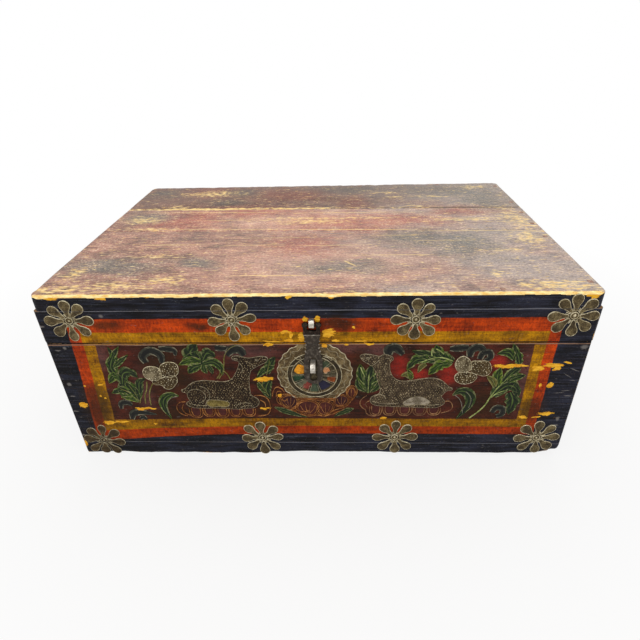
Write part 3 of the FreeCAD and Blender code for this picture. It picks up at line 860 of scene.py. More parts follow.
@dataclass(frozen=True)
class PlainPaint:
    """The thinner brown distemper of the sides and the back, with the grain showing.

    To the eye it is matt and streaky along the boards, and rubbed at the corners.
    """

    name: str
    grain: Axis
    tones: tuple[str, str] = ("#3c2019", "#7d4030")
    border: str = "#26272c"
    soot: str = "#1d130e"
    ground: tuple[str, str] = ("#b07c34", "#dcb060")
    thin: float = 0.62

    def material(self) -> Material:
        """Build the material."""
        material, tree = new_material(self.name)
        place = place_in_mm(tree)
        long, thick, deep = self.grain.value
        grain = streaks(tree, place, (long / 3, thick / 1.6, deep / 1.6), 6)
        cloud = streaks(tree, place, (80, 80, 40), 4)
        tone = add_node(tree, Node.ADD, grain, cloud)
        colour = shaded(tree, *self.tones, tone, 0.7, 1.3)
        # the front's dark border turns the corner, and the foot is dark too
        _, back, up = add_node(tree, Node.SPLIT, wandered(tree, place, 40, 2.5)).node.outputs
        corner = add_node(tree, Node.RANGE, back, -200.0, -201.0)
        border = greatest(tree, corner, add_node(tree, Node.RANGE, up, 41.0, 40.0))
        colour = add_node(tree, Node.MIX, border, colour, self.border)
        soot = streaks(tree, place, (60, 60, 24), 6)
        colour = shaded(tree, colour, self.soot, soot, 0.5, 0.72, 0.75)
        flecks = summed(tree, streaks(tree, place, (long / 16, thick * 2, deep), 6), (cloud, 0.7))
        limit = 1.7 * self.thin
        worn = add_node(tree, Node.RANGE, flecks, limit, limit + 0.12, 0.0, 0.7)
        bare, bright = edge_wear(tree, place, 1.6, 2.6)
        bare = greatest(tree, bare, worn)
        ground = add_node(tree, Node.MIX, bright, *self.ground)
        colour = add_node(tree, Node.MIX, bare, colour, ground)
        finish_with(tree, colour, summed(tree, grain, (bare, -0.7)), 0.5, Roughness=0.6)
        return material


@dataclass(frozen=True)
class BareWood:
    """Planed poplar or pine left bare inside: grey-brown with age, dry, long-grained.

    To the eye it is darker in stains and along the lines where its planks meet.
    """

    name: str
    grain: Axis
    joints: tuple[Spot, ...] = ()
    tones: tuple[str, str] = ("#5c4129", "#a98357")
    dirt: str = "#3a2a1e"

    def material(self) -> Material:
        """Build the material."""
        material, tree = new_material(self.name)
        place = place_in_mm(tree)
        long, thick, deep = self.grain.value
        rings = streaks(tree, wandered(tree, place, 120.0, 9.0), self.grain.value, 3)
        pores = streaks(tree, place, (long / 8, thick / 4, deep / 4), 4)
        stain = streaks(tree, place, (110, 110, 70), 3)
        tone = add_node(tree, Node.ADD, rings, pores)
        colour = shaded(tree, *self.tones, tone, 0.7, 1.3)
        colour = shaded(tree, colour, self.dirt, stain, 0.5, 0.75, 0.6)
        across, back, _ = add_node(tree, Node.SPLIT, place).node.outputs
        for middle, slope in self.joints:
            # drawn 1.6 mm wide so that the line shows
            off = add_node(tree, Node.ADD, summed(tree, back, (across, -slope)), -middle)
            off = add_node(tree, Node.ABSOLUTE, off)
            colour = shaded(tree, colour, self.dirt, off, 1.1, 0.5, 0.8)
        finish_with(tree, colour, summed(tree, pores, (rings, 0.8)), 0.4, Roughness=0.72)
        return material


@dataclass(frozen=True)
class ReliefPaint:
    """Paint on raised gesso: soft-edged, mottled, rubbed pale on the high places.

    To the eye it is matt chalk under a thin dirty coat, flaked with the board.
    """

    name: str
    tones: tuple[str, str]
    rub: str
    rubbed: float = 0.2
    patch: float = 3.0
    rough: float = 0.55
    ground: str = "#e0a02c"

    def material(self) -> Material:
        """Build the material."""
        material, tree = new_material(self.name)
        place = place_in_mm(tree)
        cloud = streaks(tree, place, (self.patch * 3,) * 3, 3)
        fine = streaks(tree, place, (self.patch / 3,) * 3, 3)
        tone = add_node(tree, Node.ADD, cloud, fine)
        colour = shaded(tree, *self.tones, tone, 0.75, 1.25)
        edge = 1.12 - 0.5 * self.rubbed
        colour = shaded(tree, colour, self.rub, tone, edge, edge + 0.1, 0.8)
        colour = add_node(tree, Node.MIX, WEAR.flaked(tree, place), colour, self.ground)
        finish_with(tree, colour, fine, 0.25, Roughness=self.rough)
        return material


@dataclass(frozen=True)
class LeafPaint:
    """Leaf paint shaded by hand: a near black heart, green flanks and pale rims.

    It follows each leaf by the leaf's own map: along it, and across from the vein.
    """

    name: str
    heart: str = "#0f150e"
    flank: str = "#192b0e"
    margin: str = "#4c6022"
    rim: str = "#86845a"
    vein: str = "#6d8440"
    veined: float = 0.5
    ribs: float = 4.0
    ground: str = "#e0a02c"

    def material(self) -> Material:
        """Build the material."""
        material, tree = new_material(self.name)
        place = place_in_mm(tree)
        leaf_map = add_node(tree, Node.LEAF_MAP)
        along_leaf, side, _ = add_node(tree, Node.SPLIT, leaf_map).node.outputs
        blotch = streaks(tree, place, (4, 4, 4), 4)
        off = add_node(tree, Node.ABSOLUTE, add_node(tree, Node.ADD, side, -0.5))
        # the painter's side ribs slant forward from the vein, each dark behind and light in front
        slant = add_node(tree, Node.MULTIPLY, off, -3.2)
        fold = add_node(tree, Node.FRACTION, summed(tree, slant, (along_leaf, self.ribs)))
        ragged = summed(tree, off, (blotch, 0.6), (fold, 0.26))
        colour = self.heart
        # the pale rim is rubbed away here and there
        for start, end, shade in (
            (0.5, 0.7, self.flank), (0.7, 0.86, self.margin), (0.88, 0.96, self.rim),
        ):
            colour = shaded(tree, colour, shade, ragged, start, end)
        thin = add_node(tree, Node.RANGE, off, 0.07, 0.02, 0.0, self.veined)
        fade = add_node(tree, Node.RANGE, along_leaf, 0.85, 0.6)
        thin = add_node(tree, Node.MULTIPLY, thin, fade)
        colour = add_node(tree, Node.MIX, thin, colour, self.vein)
        colour = add_node(tree, Node.MIX, WEAR.flaked(tree, place), colour, self.ground)
        finish_with(tree, colour, blotch, 0.3, Roughness=0.5)
        return material


@dataclass(frozen=True)
class ForgedIron:
    """Hand-forged iron: dark scale, brown rust in the hollows, bare metal where rubbed.

    To the eye it is a dull grey-brown metal with soft hammer marks and bright edges.
    """

    name: str
    scale: str = "#3b342d"
    bare: str = "#8d8478"
    rust: str = "#5c3a22"
    polish: float = 0.3
    roughness: float = 0.5

    def material(self) -> Material:
        """Build the material."""
        material, tree = new_material(self.name)
        place = place_in_mm(tree)
        # hammer marks about 4 mm across
        marks = streaks(tree, place, (4, 4, 4), 2)
        pits = streaks(tree, place, (0.9, 0.9, 0.9), 4)
        colour = shaded(tree, self.scale, self.bare, marks, 0.75 - self.polish, 1.0 - self.polish)
        rusted = add_node(tree, Node.RANGE, pits, 0.56, 0.68, 0.0, 0.75)
        colour = add_node(tree, Node.MIX, rusted, colour, self.rust)
        metal = add_node(tree, Node.RANGE, rusted, 0.0, 0.75, 0.95, 0.35)
        smooth, dull = self.roughness - 0.1, self.roughness + 0.14
        rough = add_node(tree, Node.RANGE, pits, 0.3, 0.7, smooth, dull)
        relief = summed(tree, pits, (marks, 1.5))
        finish_with(tree, colour, relief, 0.12, 0.5, Metallic=metal, Roughness=rough)
        return material


@dataclass(frozen=True)
class Bamboo:
    """Split bamboo for the hidden pins: straw-coloured, with fine long fibres."""

    name: str = "split_bamboo"
    tones: tuple[str, str] = ("#9a7a3e", "#d9c07c")

    def material(self) -> Material:
        """Build the material."""
        material, tree = new_material(self.name)
        fibres = streaks(tree, place_in_mm(tree), (0.6, 30, 0.6), 4)
        colour = shaded(tree, *self.tones, fibres, 0.35, 0.65)
        finish_with(tree, colour, fibres, 0.2, Roughness=0.5)
        return material


Finish = (
    FrontPaint | TopPaint | PlainPaint | BareWood | ReliefPaint | LeafPaint | ForgedIron | Bamboo
)


class Finishes:
    """Every finish of the trunk, each made into a material once, when first asked for."""

    FRONT = {"base": FrontPaint(), "lid": FrontPaint("distemper_lid_bands", "lid")}
    TOP = TopPaint()
    SIDE = PlainPaint("thin_distemper_sides", Axis.ALONG_Y)
    BACK = PlainPaint("thin_distemper_back", Axis.ALONG_X, thin=0.6)
    INSIDE_LONG = {
        "base": BareWood("bare_poplar_base_boards", Axis.ALONG_X, BASE_JOINTS),
        "lid": BareWood("bare_poplar_lid_boards", Axis.ALONG_X, LID_JOINTS),
    }
    INSIDE_CROSS = BareWood("bare_poplar_cross_boards", Axis.ALONG_Y)
    GESSO_LINE = ReliefPaint("bronzed_gesso_line", ("#857859", "#bfb28f"), "#ded3b4", 0.3, 2.4)
    BRONZE = ReliefPaint("olive_bronze_ground", ("#2c2315", "#615235"), "#786a49", 0.15)
    WHEEL_BRONZE = ReliefPaint("wheel_bronze_ground", ("#392c19", "#655236"), "#857350", 0.22)
    PALE_BRONZE = ReliefPaint("pale_flower_ground", ("#3b301f", "#675b42"), "#8a7e64", 0.25)
    BLOSSOM = ReliefPaint("brown_blossom_ground", ("#251b0e", "#4b3a1f"), "#5f4e30", 0.1)
    OLIVE = ReliefPaint("olive_belly_ground", ("#43381a", "#75652f"), "#8a7a44")
    ASH = ReliefPaint("ashy_haunch_ground", ("#5a503f", "#8d8270"), "#a89d8a", 0.3)
    DIM_LINE = ReliefPaint("dim_gesso_line", ("#6b604a", "#9c9074"), "#b8ac90", patch=2.4)
    HUB = ReliefPaint("dark_hub_ground", ("#1f1a10", "#3d3422"), "#5a4e36", 0.1)
    GROOVE = ReliefPaint("dark_ring_groove", ("#1c160e", "#352b1c"), "#4c4028", 0.1)
    HIDE = ReliefPaint("dark_bronze_hide", ("#140b04", "#2c1e10"), "#3c2c1b", 0.1)
    GREY_HIDE = ReliefPaint("greyed_bronze_hide", ("#21180f", "#473a2b"), "#5a4c3a")
    STIPPLE = ReliefPaint("gesso_stipple", ("#5c4c30", "#9f8b63"), "#c0ae88", 0.25, 6)
    TAN_LINE = ReliefPaint("tan_gesso_line", ("#56301a", "#9a6130"), "#bb8248", 0.22, 3.2)
    AMBER = ReliefPaint("amber_lotus_ground", ("#1b0c07", "#40190c"), "#7c4218", 0.18, 2)
    FADED_LINE = ReliefPaint("faded_tan_line", ("#54382a", "#8a6242"), "#a67c52", patch=3.2)
    RUST_LINE = ReliefPaint("rust_gesso_line", ("#5e2c18", "#8f4c28"), "#a8663a")
    HOLLOW = ReliefPaint("lotus_hollow", ("#341512", "#4c211c"), "#5c2e26", 0.05)
    PLUM = ReliefPaint("plum_hollow", ("#260f10", "#3b1a1c"), "#4c2a2c", 0.05)
    GREY_LINE = ReliefPaint("grey_gesso_line", ("#5b554c", "#878074"), "#a0988a", patch=2.4)
    LEAF_VEIN = ReliefPaint("green_gesso_vein", ("#5c6a34", "#8f9a58"), "#a9b070")
    STEM = ReliefPaint("olive_gesso_stem", ("#565124", "#7a7238"), "#8f8650")
    NAIL = ReliefPaint("painted_nail_heads", ("#6d4d40", "#8a6656"), "#a98a78")
    LEAF = LeafPaint("shaded_leaf_paint")
    FRESH_LEAF = LeafPaint("fresh_leaf_paint", "#121c09", "#2b4211", "#657628")
    DARK_LEAF = LeafPaint("dark_leaf_paint", "#11140f", "#1a2812", "#384820", "#74744e")
    OLIVE_LEAF = LeafPaint("olive_leaf_paint", "#39341a", "#565026", "#77703a")
    CURL = LeafPaint(
        "cloud_curl_paint", "#141413", "#21221d", "#3b3c31", "#7a735f", veined=0.0, ribs=2.0
    )
    IRON = ForgedIron("forged_iron", "#3f3a34", "#6f675d", polish=0.25)
    DARK_IRON = ForgedIron("blackened_forged_iron", "#241f1b", "#4a433c", polish=0.22)
    WORN_IRON = ForgedIron("rubbed_bright_iron", "#a39c92", "#dcd6ca", "#7d6a55", 0.4, 0.42)
    # painted highlight: the lighter iron of the hasp's nubs and of the foot of its lap
    HIGHLIGHT_IRON = ForgedIron("painted_highlight_iron", "#6f675c", "#a8a094", "#5c4a38", 0.35)
    BAMBOO = Bamboo()

    _made: dict[str, Material] = {}

    @classmethod
    def get(cls, finish: Finish) -> Material:
        """Return the finish's material, made once."""
        if finish.name not in cls._made:
            cls._made[finish.name] = finish.material()
        return cls._made[finish.name]


def shown(name: str, data: bpy.types.ID) -> bpy.types.Object:
    """Make an object of some data and put it in the scene."""
    thing = bpy.data.objects.new(name, data)
    bpy.context.scene.collection.objects.link(thing)
    return thing


def link_piece(
    bm: Mesh, name: str, finishes: tuple[Finish, ...], body: str = "base",
    nodes: tuple[str, ...] = (), sharp: float = 60.0,
) -> None:
    """Turn a finished mesh into a piece that rides on a body.

    Args:
        bm: The mesh, in metres and in its place.
        name: The piece's name.
        finishes: Its finishes, in the order of the faces' material numbers.
        body: The body that carries it.
        nodes: The frame's nodes that it stands for.
        sharp: The angle in degrees past which an edge stays sharp.
    """
    mesh = bpy.data.meshes.new(name)
    bm.to_mesh(mesh)
    bm.free()
    for finish in finishes:
        mesh.materials.append(Finishes.get(finish))
    mesh.polygons.foreach_set("use_smooth", [True] * len(mesh.polygons))
    mesh.set_sharp_from_angle(angle=math.radians(sharp))
    piece = shown(name, mesh)
    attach(piece, body)
    if nodes:
        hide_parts(*nodes)
    LOG.info("%s on %s: %d faces", name, body, len(mesh.polygons))


def node_copy(node: str) -> Mesh:
    """Copy a frame node's mesh and merge its loose triangles."""
    bm = bmesh.new()
    bm.from_mesh(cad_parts[node].data)
    bmesh.ops.remove_doubles(bm, verts=bm.verts, dist=2 * SAME_PLACE)
    return bm


def slice_mesh(bm: Mesh, axis: int, places: list[float], near: float = SAME_PLACE) -> None:
    """Cut a mesh's faces along planes, and keep both sides.

    Args:
        bm: The mesh.
        axis: 0, 1 or 2, the planes' normal.
        places: Where the planes stand, in metres.
        near: How close to a plane a point counts as on it.
    """
    normal = Vector([float(at == axis) for at in range(3)])
    for place in places:
        geometry = [*bm.verts, *bm.edges, *bm.faces]
        bmesh.ops.bisect_plane(
            bm, geom=geometry, dist=near, plane_co=normal * place, plane_no=normal
        )


def polar(centre: Spot, radius: float, turn: float) -> Spot:
    """Give the spot at a radius and an angle, in radians, round a centre."""
    return centre[0] + radius * math.cos(turn), centre[1] + radius * math.sin(turn)


@dataclass
class EdgeWear:
    """How the outside edges have been rubbed round and chipped, in millimetres."""

    foot_radius: float = 4.0
    rim_radius: float = 2.0
    lid_radius: float = 1.5
    bottom_corner: float = 13.0
    corner_spread: float = 26.0
    # the dents in the top's edge, and the band that they lie in
    top_dents: float = 1.5
    dent_band: float = 9.0
    # how the front's foot is worn up: by how much, from where, and how far in and up it reaches
    foot_lift: float = 4.2
    wavy_lift: float = 1.2
    lift_from: float = -73.0
    lift_ramp: float = 2.2
    foot_reach: float = 8.0
    foot_band: float = 30.0
    # no wear goes deeper than this under a side face
    depth: float = 22.0
    wave: float = 38.0
    ripple: float = 7.0
    seed_shift: float = 11.3

    def on_lid(self, z: float) -> bool:
        """Say whether a height is the lid's."""
        return z > TRUNK.parting + 0.01

    def plan(self, x: float, y: float, z: float) -> tuple[float, Vector]:
        """Find the distance to the trunk's outline in plan, and the way out.

        Args:
            x: The point's place across.
            y: The point's place from front to back.
            z: Its height, which tells lid from base.

        Returns:
            The distance in millimetres and the outward direction.
        """
        lid = self.on_lid(z)
        half_x = TRUNK.lid_half_width if lid else TRUNK.base_half_width
        front = -TRUNK.lid_front if lid else -TRUNK.base_front
        half_y = front if y < 0 else TRUNK.back
        round_by = TRUNK.corner
        right, deep = abs(x) - (half_x - round_by), abs(y) - (half_y - round_by)
        sign_x, sign_y = math.copysign(1, x), math.copysign(1, y)
        if right > 0 and deep > 0:
            reach = math.hypot(right, deep)
            return round_by - reach, Vector((sign_x * right, sign_y * deep, 0)) / reach
        if right > deep:
            return round_by - right, Vector((sign_x, 0, 0))
        return round_by - deep, Vector((0, sign_y, 0))

    def rub(self, x: float, y: float, z: float, size: float) -> float:
        """Give noise from -1 to 1 at a place, with cells of a size in millimetres."""
        return noise.noise(Vector((x, y, z)) / size + Vector((self.seed_shift,) * 3))

    def worn(self, place: Vector) -> Vector:
        """Move one point of a board as the wear has.

        Args:
            place: The point in metres.

        Returns:
            The worn point in metres.
        """
        x, y, z = place / MM
        near, out = self.plan(x, y, z)
        if near > self.depth:
            return place
        coarse, small = self.rub(x, y, z, self.wave), self.rub(x, y, z, self.ripple)
        vary = 1 + 0.7 * coarse + 0.3 * small
        moved = Vector((x, y, z))
        if self.on_lid(z):
            moved = self.eased(moved, near, out, z - TRUNK.parting, 1, self.lid_radius * vary)
            rim, band = TRUNK.top - z, self.dent_band
            if rim < band and near < band:
                share = (1 - rim / band) * (1 - near / band)
                dent = max(0.0, coarse * 0.9 + small * 0.7 + 0.2) * self.top_dents * share
                moved -= out * dent
                moved.z -= dent * 0.9
            return moved * MM
        moved = self.eased(moved, near, out, TRUNK.parting - z, -1, self.rim_radius * vary)
        corner = math.hypot(x - TRUNK.base_half_width, y - TRUNK.base_front)
        fading = math.exp(-((corner / self.corner_spread) ** 2))
        radius = self.foot_radius * vary + self.bottom_corner * fading
        if y < 0 and z < self.foot_band and near < self.foot_reach:
            step = 1 / (1 + math.exp(-(x - self.lift_from) / self.lift_ramp))
            lift = self.foot_lift * step + self.wavy_lift * max(0.0, coarse)
            moved.z += lift * (1 - z / self.foot_band) * (1 - near / self.foot_reach)
        return self.eased(moved, near, out, z, 1, radius) * MM

    def eased(
        self, place: Vector, near: float, out: Vector, level: float, way: int, radius: float
    ) -> Vector:
        """Round a square edge: points in the corner square go to its quarter circle.

        Args:
            place: The point in millimetres.
            near: Its distance to the side face.
            out: The side face's outward direction.
            level: Its distance to the level face.
            way: 1 if the edge's board lies above that face, -1 if below.
            radius: The rounding.

        Returns:
            The moved point.
        """
        if near >= radius or level >= radius or level < -0.01:
            return place
        side, tall = (radius - near) / radius, (radius - level) / radius
        length = math.hypot(side, tall)
        if length < 1e-6:
            return place
        pull = max(side, tall) / length
        place = place - out * (side - side * pull) * radius
        place.z += way * (tall - tall * pull) * radius
        return place


class Facing(Enum):
    """What a board's face looks out on; the number is its material's."""

    FRONT = 0
    TOP = 1
    SIDE = 2
    BACK = 3
    INSIDE = 4


@dataclass
class Boards:
    """The carcass, the lid's rails and the planks, worn at every outside edge."""

    long_nodes: tuple[str, ...] = (
        "base_front_board", "base_back_board", "bottom_plank_front", "bottom_plank_middle",
        "bottom_plank_rear", "lid_front_rail", "lid_back_rail", "top_plank_front",
        "top_plank_middle", "top_plank_rear",
    )
    cross_nodes: tuple[str, ...] = (
        "base_left_board", "base_right_board", "lid_left_rail", "lid_right_rail",
    )
    # the cuts that give the wear its points: all along, near each edge, and in the foot
    step: float = 6.0
    edge_cuts: tuple[float, ...] = (0.5, 1.2, 2.2, 4, 7)
    side_cuts: tuple[float, ...] = (0.5, 1.2, 2.2, 4, 7, 12, 18)
    foot_cuts: tuple[float, ...] = (12.0, 18.0, 24.0)
    seam: float = 0.1
    skin: float = 4.5
    wear: EdgeWear = field(default_factory=EdgeWear)

    def build(self) -> None:
        """Build every board."""
        for node in self.long_nodes + self.cross_nodes:
            self.board(node, node in self.cross_nodes)

    def board(self, node: str, cross: bool) -> None:
        """Copy one board, part it from its neighbours by a hair, slice and wear it."""
        body = "base" if node.startswith(("base", "bottom")) else "lid"
        bm = node_copy(node)
        bm.normal_update()
        for vert, normal in [(vert, vert.normal.copy()) for vert in bm.verts]:
            vert.co -= normal * self.seam * MM
        low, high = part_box(node)
        edges, signs = (0.0, TRUNK.parting, TRUNK.top), (-1, 1)
        levels = [edge + sign * off for edge in edges for sign in signs for off in self.edge_cuts]
        self.cut(bm, 2, [*levels, *self.foot_cuts], low, high)
        for axis, half in ((0, TRUNK.base_half_width), (1, -TRUNK.base_front)):
            rings = [sign * (half - off) for sign in signs for off in self.side_cuts]
            self.cut(bm, axis, rings, low, high)
        run = 1 if cross else 0
        count = int((high[run] - low[run]) / MM / self.step)
        places = [low[run] / MM + self.step * (at + 0.5) for at in range(count)]
        self.cut(bm, run, places, low, high)
        for vert in bm.verts:
            vert.co = self.wear.worn(vert.co)
        bm.normal_update()
        for face in bm.faces:
            face.material_index = self.facing(face).value
        inside = Finishes.INSIDE_CROSS if cross else Finishes.INSIDE_LONG[body]
        finishes = (Finishes.FRONT[body], Finishes.TOP, Finishes.SIDE, Finishes.BACK, inside)
        link_piece(bm, "worn_" + node, finishes, body, (node,), 28.0)

    def cut(self, bm: Mesh, axis: int, places: list[float], low: Vector, high: Vector) -> None:
        """Slice a board at those of the places that lie inside it."""
        clear = 1e-4
        inside = [at * MM for at in places if low[axis] + clear < at * MM < high[axis] - clear]
        slice_mesh(bm, axis, inside)

    def facing(self, face: bmesh.types.BMFace) -> Facing:
        """Say which finish a face takes, from where it is and where it looks."""
        x, y, z = face.calc_center_median() / MM
        near, out = self.wear.plan(x, y, z)
        if z > TRUNK.top - self.skin and face.normal.z > 0.3:
            return Facing.TOP
        if near < self.skin and face.normal.dot(out) > 0.25:
            if out.y < -0.7:
                return Facing.FRONT
            return Facing.SIDE if abs(out.x) > 0.7 else Facing.BACK
        return Facing.INSIDE


@dataclass
class Relief:
    """Builds raised ornament on the front face, from places in millimetres."""

    face: float = TRUNK.base_front
    sink: float = 0.25
    steps: int = 4

    def spline(self, lines: list[Line], bevel: float) -> Mesh:
        """Lay smooth lines through places, in the plane of the front.

        Args:
            lines: Each line's places, and whether it is closed.
            bevel: The line's half width in millimetres, or 0 for a bare outline.

        Returns:
            The lines' mesh in metres, at the front face.
        """
        curve = bpy.data.curves.new("laid_line", "CURVE")
        curve.dimensions = "3D"
        curve.resolution_u = self.steps
        curve.bevel_depth = bevel * MM
        curve.bevel_resolution = 1
        curve.use_fill_caps = True
        for places, closed in lines:
            spline = curve.splines.new("BEZIER")
            spline.bezier_points.add(len(places) - 1)
            for knot, (x, z) in zip(spline.bezier_points, places):
                knot.co = (x * MM, 0, z * MM)
            for knot in spline.bezier_points:
                knot.handle_left_type = knot.handle_right_type = "AUTO"
            spline.use_cyclic_u = closed
        holder = shown("laid_line", curve)
        graph = bpy.context.evaluated_depsgraph_get()
        mesh = bpy.data.meshes.new_from_object(holder.evaluated_get(graph))
        bm = bmesh.new()
        bm.from_mesh(mesh)
        bpy.data.objects.remove(holder)
        bpy.data.curves.remove(curve)
        bpy.data.meshes.remove(mesh)
        return bm

    def beads(self, lines: list[Line], width: float, height: float) -> Mesh:
        """Lay raised lines of gesso with a half-round section.

        Args:
            lines: Each line's places, and whether it is closed.
            width: The line's width in millimetres.
            height: How far it stands out in millimetres.

        Returns:
            The mesh.
        """
        bm = self.spline(lines, width / 2)
        for vert in bm.verts:
            vert.co.y = vert.co.y * height / (width / 2) + self.face * MM
        bmesh.ops.remove_doubles(bm, verts=bm.verts, dist=SAME_PLACE)
        bmesh.ops.recalc_face_normals(bm, faces=bm.faces)
        return bm

    def plate(self, outline: Path, height: float, crown: float = 0.0, slope: float = 0.5) -> Mesh:
        """Fill a closed outline with a low plate that has sloping sides.

        Args:
            outline: The outline's places.
            height: The plate's height in millimetres.
            crown: How much its middle rises above that.
            slope: The width of its sloping side.

        Returns:
            The mesh.
        """
        bm = self.spline([(outline, True)], 0)
        bmesh.ops.remove_doubles(bm, verts=bm.verts, dist=SAME_PLACE)
        bmesh.ops.contextual_create(bm, geom=list(bm.edges))
        for vert in bm.verts:
            vert.co.y = (self.face + self.sink) * MM
        bm.normal_update()
        face = bm.faces[:][0]
        if face.normal.y > 0:
            face.normal_flip()
            bm.normal_update()
        for thick, rise in ((slope, height + self.sink), (crown * 3, crown)):
            if rise > 0 and thick > 0:
                bmesh.ops.inset_region(bm, faces=[face], thickness=thick * MM, depth=rise * MM)
        bmesh.ops.triangulate(bm, faces=[f for f in bm.faces if len(f.verts) > 4])
        return bm

    def dots(self, places: list[Spot], size: float, level: float, rng: random.Random) -> Mesh:
        """Lay small domes of gesso, each with a few faces.

        Args:
            places: Where they lie.
            size: Their mean width in millimetres.
            level: The height of the ground that they lie on.
            rng: The random numbers for their shapes.

        Returns:
            The mesh.
        """
        bm = bmesh.new()
        for x, z in places:
            radius = size / 2 * rng.uniform(0.75, 1.25)
            turn = Matrix.Rotation(rng.uniform(-0.4, 0.4), 4, "Y")
            tall = radius * rng.uniform(1, 1.7) * MM
            shape = Matrix.Diagonal((radius * MM, radius * 0.6 * MM, tall, 1))
            where = Matrix.Translation(Vector((x, self.face - level, z)) * MM)
            bmesh.ops.create_icosphere(bm, subdivisions=1, radius=1.0, matrix=where @ turn @ shape)
        return bm

    def merged(self, parts: list[Part]) -> Mesh:
        """Join meshes into one, each with its own material number.

        Args:
            parts: The meshes and their material numbers.

        Returns:
            The joined mesh.
        """
        whole = bmesh.new()
        whole.loops.layers.uv.new("leaf")
        for bm, number in parts:
            for face in bm.faces:
                face.material_index = number
            mesh = bpy.data.meshes.new("part")
            bm.to_mesh(mesh)
            bm.free()
            whole.from_mesh(mesh)
            bpy.data.meshes.remove(mesh)
        return whole

    def cracked(self, bm: Mesh, level: float, gap: float) -> Mesh:
        """Break the ornament where it crosses a joint between two boards.

        Args:
            bm: The ornament.
            level: The joint's height in millimetres.
            gap: The crack's width in millimetres.

        Returns:
            The broken ornament.
        """
        low, high = (level - gap / 2) * MM, (level + gap / 2) * MM
        slice_mesh(bm, 2, [low, high], ON_PLANE)
        inside = [face for face in bm.faces if low < face.calc_center_median().z < high]
        bmesh.ops.delete(bm, geom=inside, context="FACES")
        rims = [edge for edge in bm.edges if edge.is_boundary]
        bmesh.ops.holes_fill(bm, edges=rims, sides=8)
        return bm


def along(path: Path, share: float) -> tuple[Vector, Vector]:
    """Find the place and the direction at a share of a smooth path.

    Args:
        path: The path's places, at least two.
        share: From 0 at its start to 1 at its end.

    Returns:
        The place and the unit direction, in millimetres.
    """
    knots = [Vector(spot) for spot in path]
    knots = [2 * knots[0] - knots[1], *knots, 2 * knots[-1] - knots[-2]]
    last = len(path) - 1
    at = min(int(share * last), last - 1)
    t = share * last - at
    a, b, c, d = knots[at : at + 4]
    square, cube = 2 * a - 5 * b + 4 * c - d, 3 * b - a - 3 * c + d
    place = 0.5 * (2 * b + (c - a) * t + square * t**2 + cube * t**3)
    slope = 0.5 * ((c - a) + 2 * square * t + 3 * cube * t**2)
    return place, slope.normalized()


@dataclass(frozen=True)
class Blade:
    """A leaf lobe or a curl: its finish's number, a path, and a width shared along it."""

    tone: int
    path: Path
    width: float
    widest: float = 0.4
    root: float = 0.35
    tip: float = 0.0
    lobes: int = 0
    rows: int = 14

    def half_width(self, share: float) -> float:
        """Give half the width at a share of the path."""
        notch = 1 - 0.3 * abs(math.cos(share * self.lobes * math.pi)) ** 3 if self.lobes else 1.0
        most = self.width / 2 * notch
        if share < self.widest:
            grow = math.sin(share / self.widest * math.pi / 2)
            return most * (self.root + (1 - self.root) * grow)
        fall = (share - self.widest) / (1 - self.widest)
        return most * (self.tip + (1 - self.tip) * math.cos(fall * math.pi / 2) ** 0.8)

    def mesh(self, relief: Relief, lift: float) -> Mesh:
        """Shape a grid into the blade, with a raised rim and a sunk vein.

        Args:
            relief: The face that it lies on.
            lift: A small height that keeps it clear of the blades under it.

        Returns:
            The mesh, with its own map named leaf.
        """
        rim = min(0.9, self.width * 0.12)
        bm = bmesh.new()
        bm.loops.layers.uv.new("leaf")
        # across: into the board, foot of the rim, its crest, its inner foot, the flank, the vein
        spread = (1.0, 1.0, 1.0, 1.0, 0.55, 0.0, -0.55, -1.0, -1.0, -1.0, -1.0)
        inset = (0.0, 0.0, 0.5, 1.0, 0.5, 0.0, 0.5, 1.0, 0.5, 0.0, 0.0)
        rise = (-0.3, 0.2, 0.75, 0.28, 0.42, 0.3, 0.42, 0.28, 0.75, 0.2, -0.3)
        columns = len(spread) - 1
        rows = self.rows + 4 * self.lobes
        bmesh.ops.create_grid(bm, x_segments=rows, y_segments=columns, size=0.5, calc_uvs=False)
        leaf_map = bm.loops.layers.uv["leaf"]
        for vert in bm.verts:
            at = round((vert.co.y + 0.5) * columns)
            share = 0.015 + 0.985 * (vert.co.x + 0.5)
            centre, direction = along(self.path, min(share, 0.9999))
            side = Vector((-direction.y, direction.x))
            half = max(self.half_width(share), 0.25)
            reach = max(half * abs(spread[at]) - inset[at] * rim, 0.0)
            spot = centre + side * math.copysign(reach, spread[at])
            height = rise[at] + lift if rise[at] > 0 else rise[at]
            vert.co = Vector((spot.x, relief.face - height, spot.y)) * MM
            off = reach / half if abs(spread[at]) < 1 else 1 - 0.1 * inset[at]
            for loop in vert.link_loops:
                loop[leaf_map].uv = (share, 0.5 + 0.5 * math.copysign(off, spread[at]))
        bm.normal_update()
        if sum(face.normal.y for face in bm.faces) > 0:
            bmesh.ops.reverse_faces(bm, faces=bm.faces)
        return bm


@dataclass
class Scroll:
    """A group of leaf blades, the lowest first, with their stems in its last finish."""

    name: str
    blades: tuple[Blade, ...]
    stems: tuple[Path, ...]
    finishes: tuple[Finish, ...]
    stem_width: float = 1.6

    def build(self) -> None:
        """Build the group as one piece."""
        relief = Relief()
        parts = []
        for at, blade in enumerate(self.blades):
            parts.append((blade.mesh(relief, 0.05 * at), blade.tone))
        if self.stems:
            lines = [(stem, False) for stem in self.stems]
            parts.append((relief.beads(lines, self.stem_width, 0.8), len(self.finishes) - 1))
        link_piece(relief.merged(parts), self.name, self.finishes)


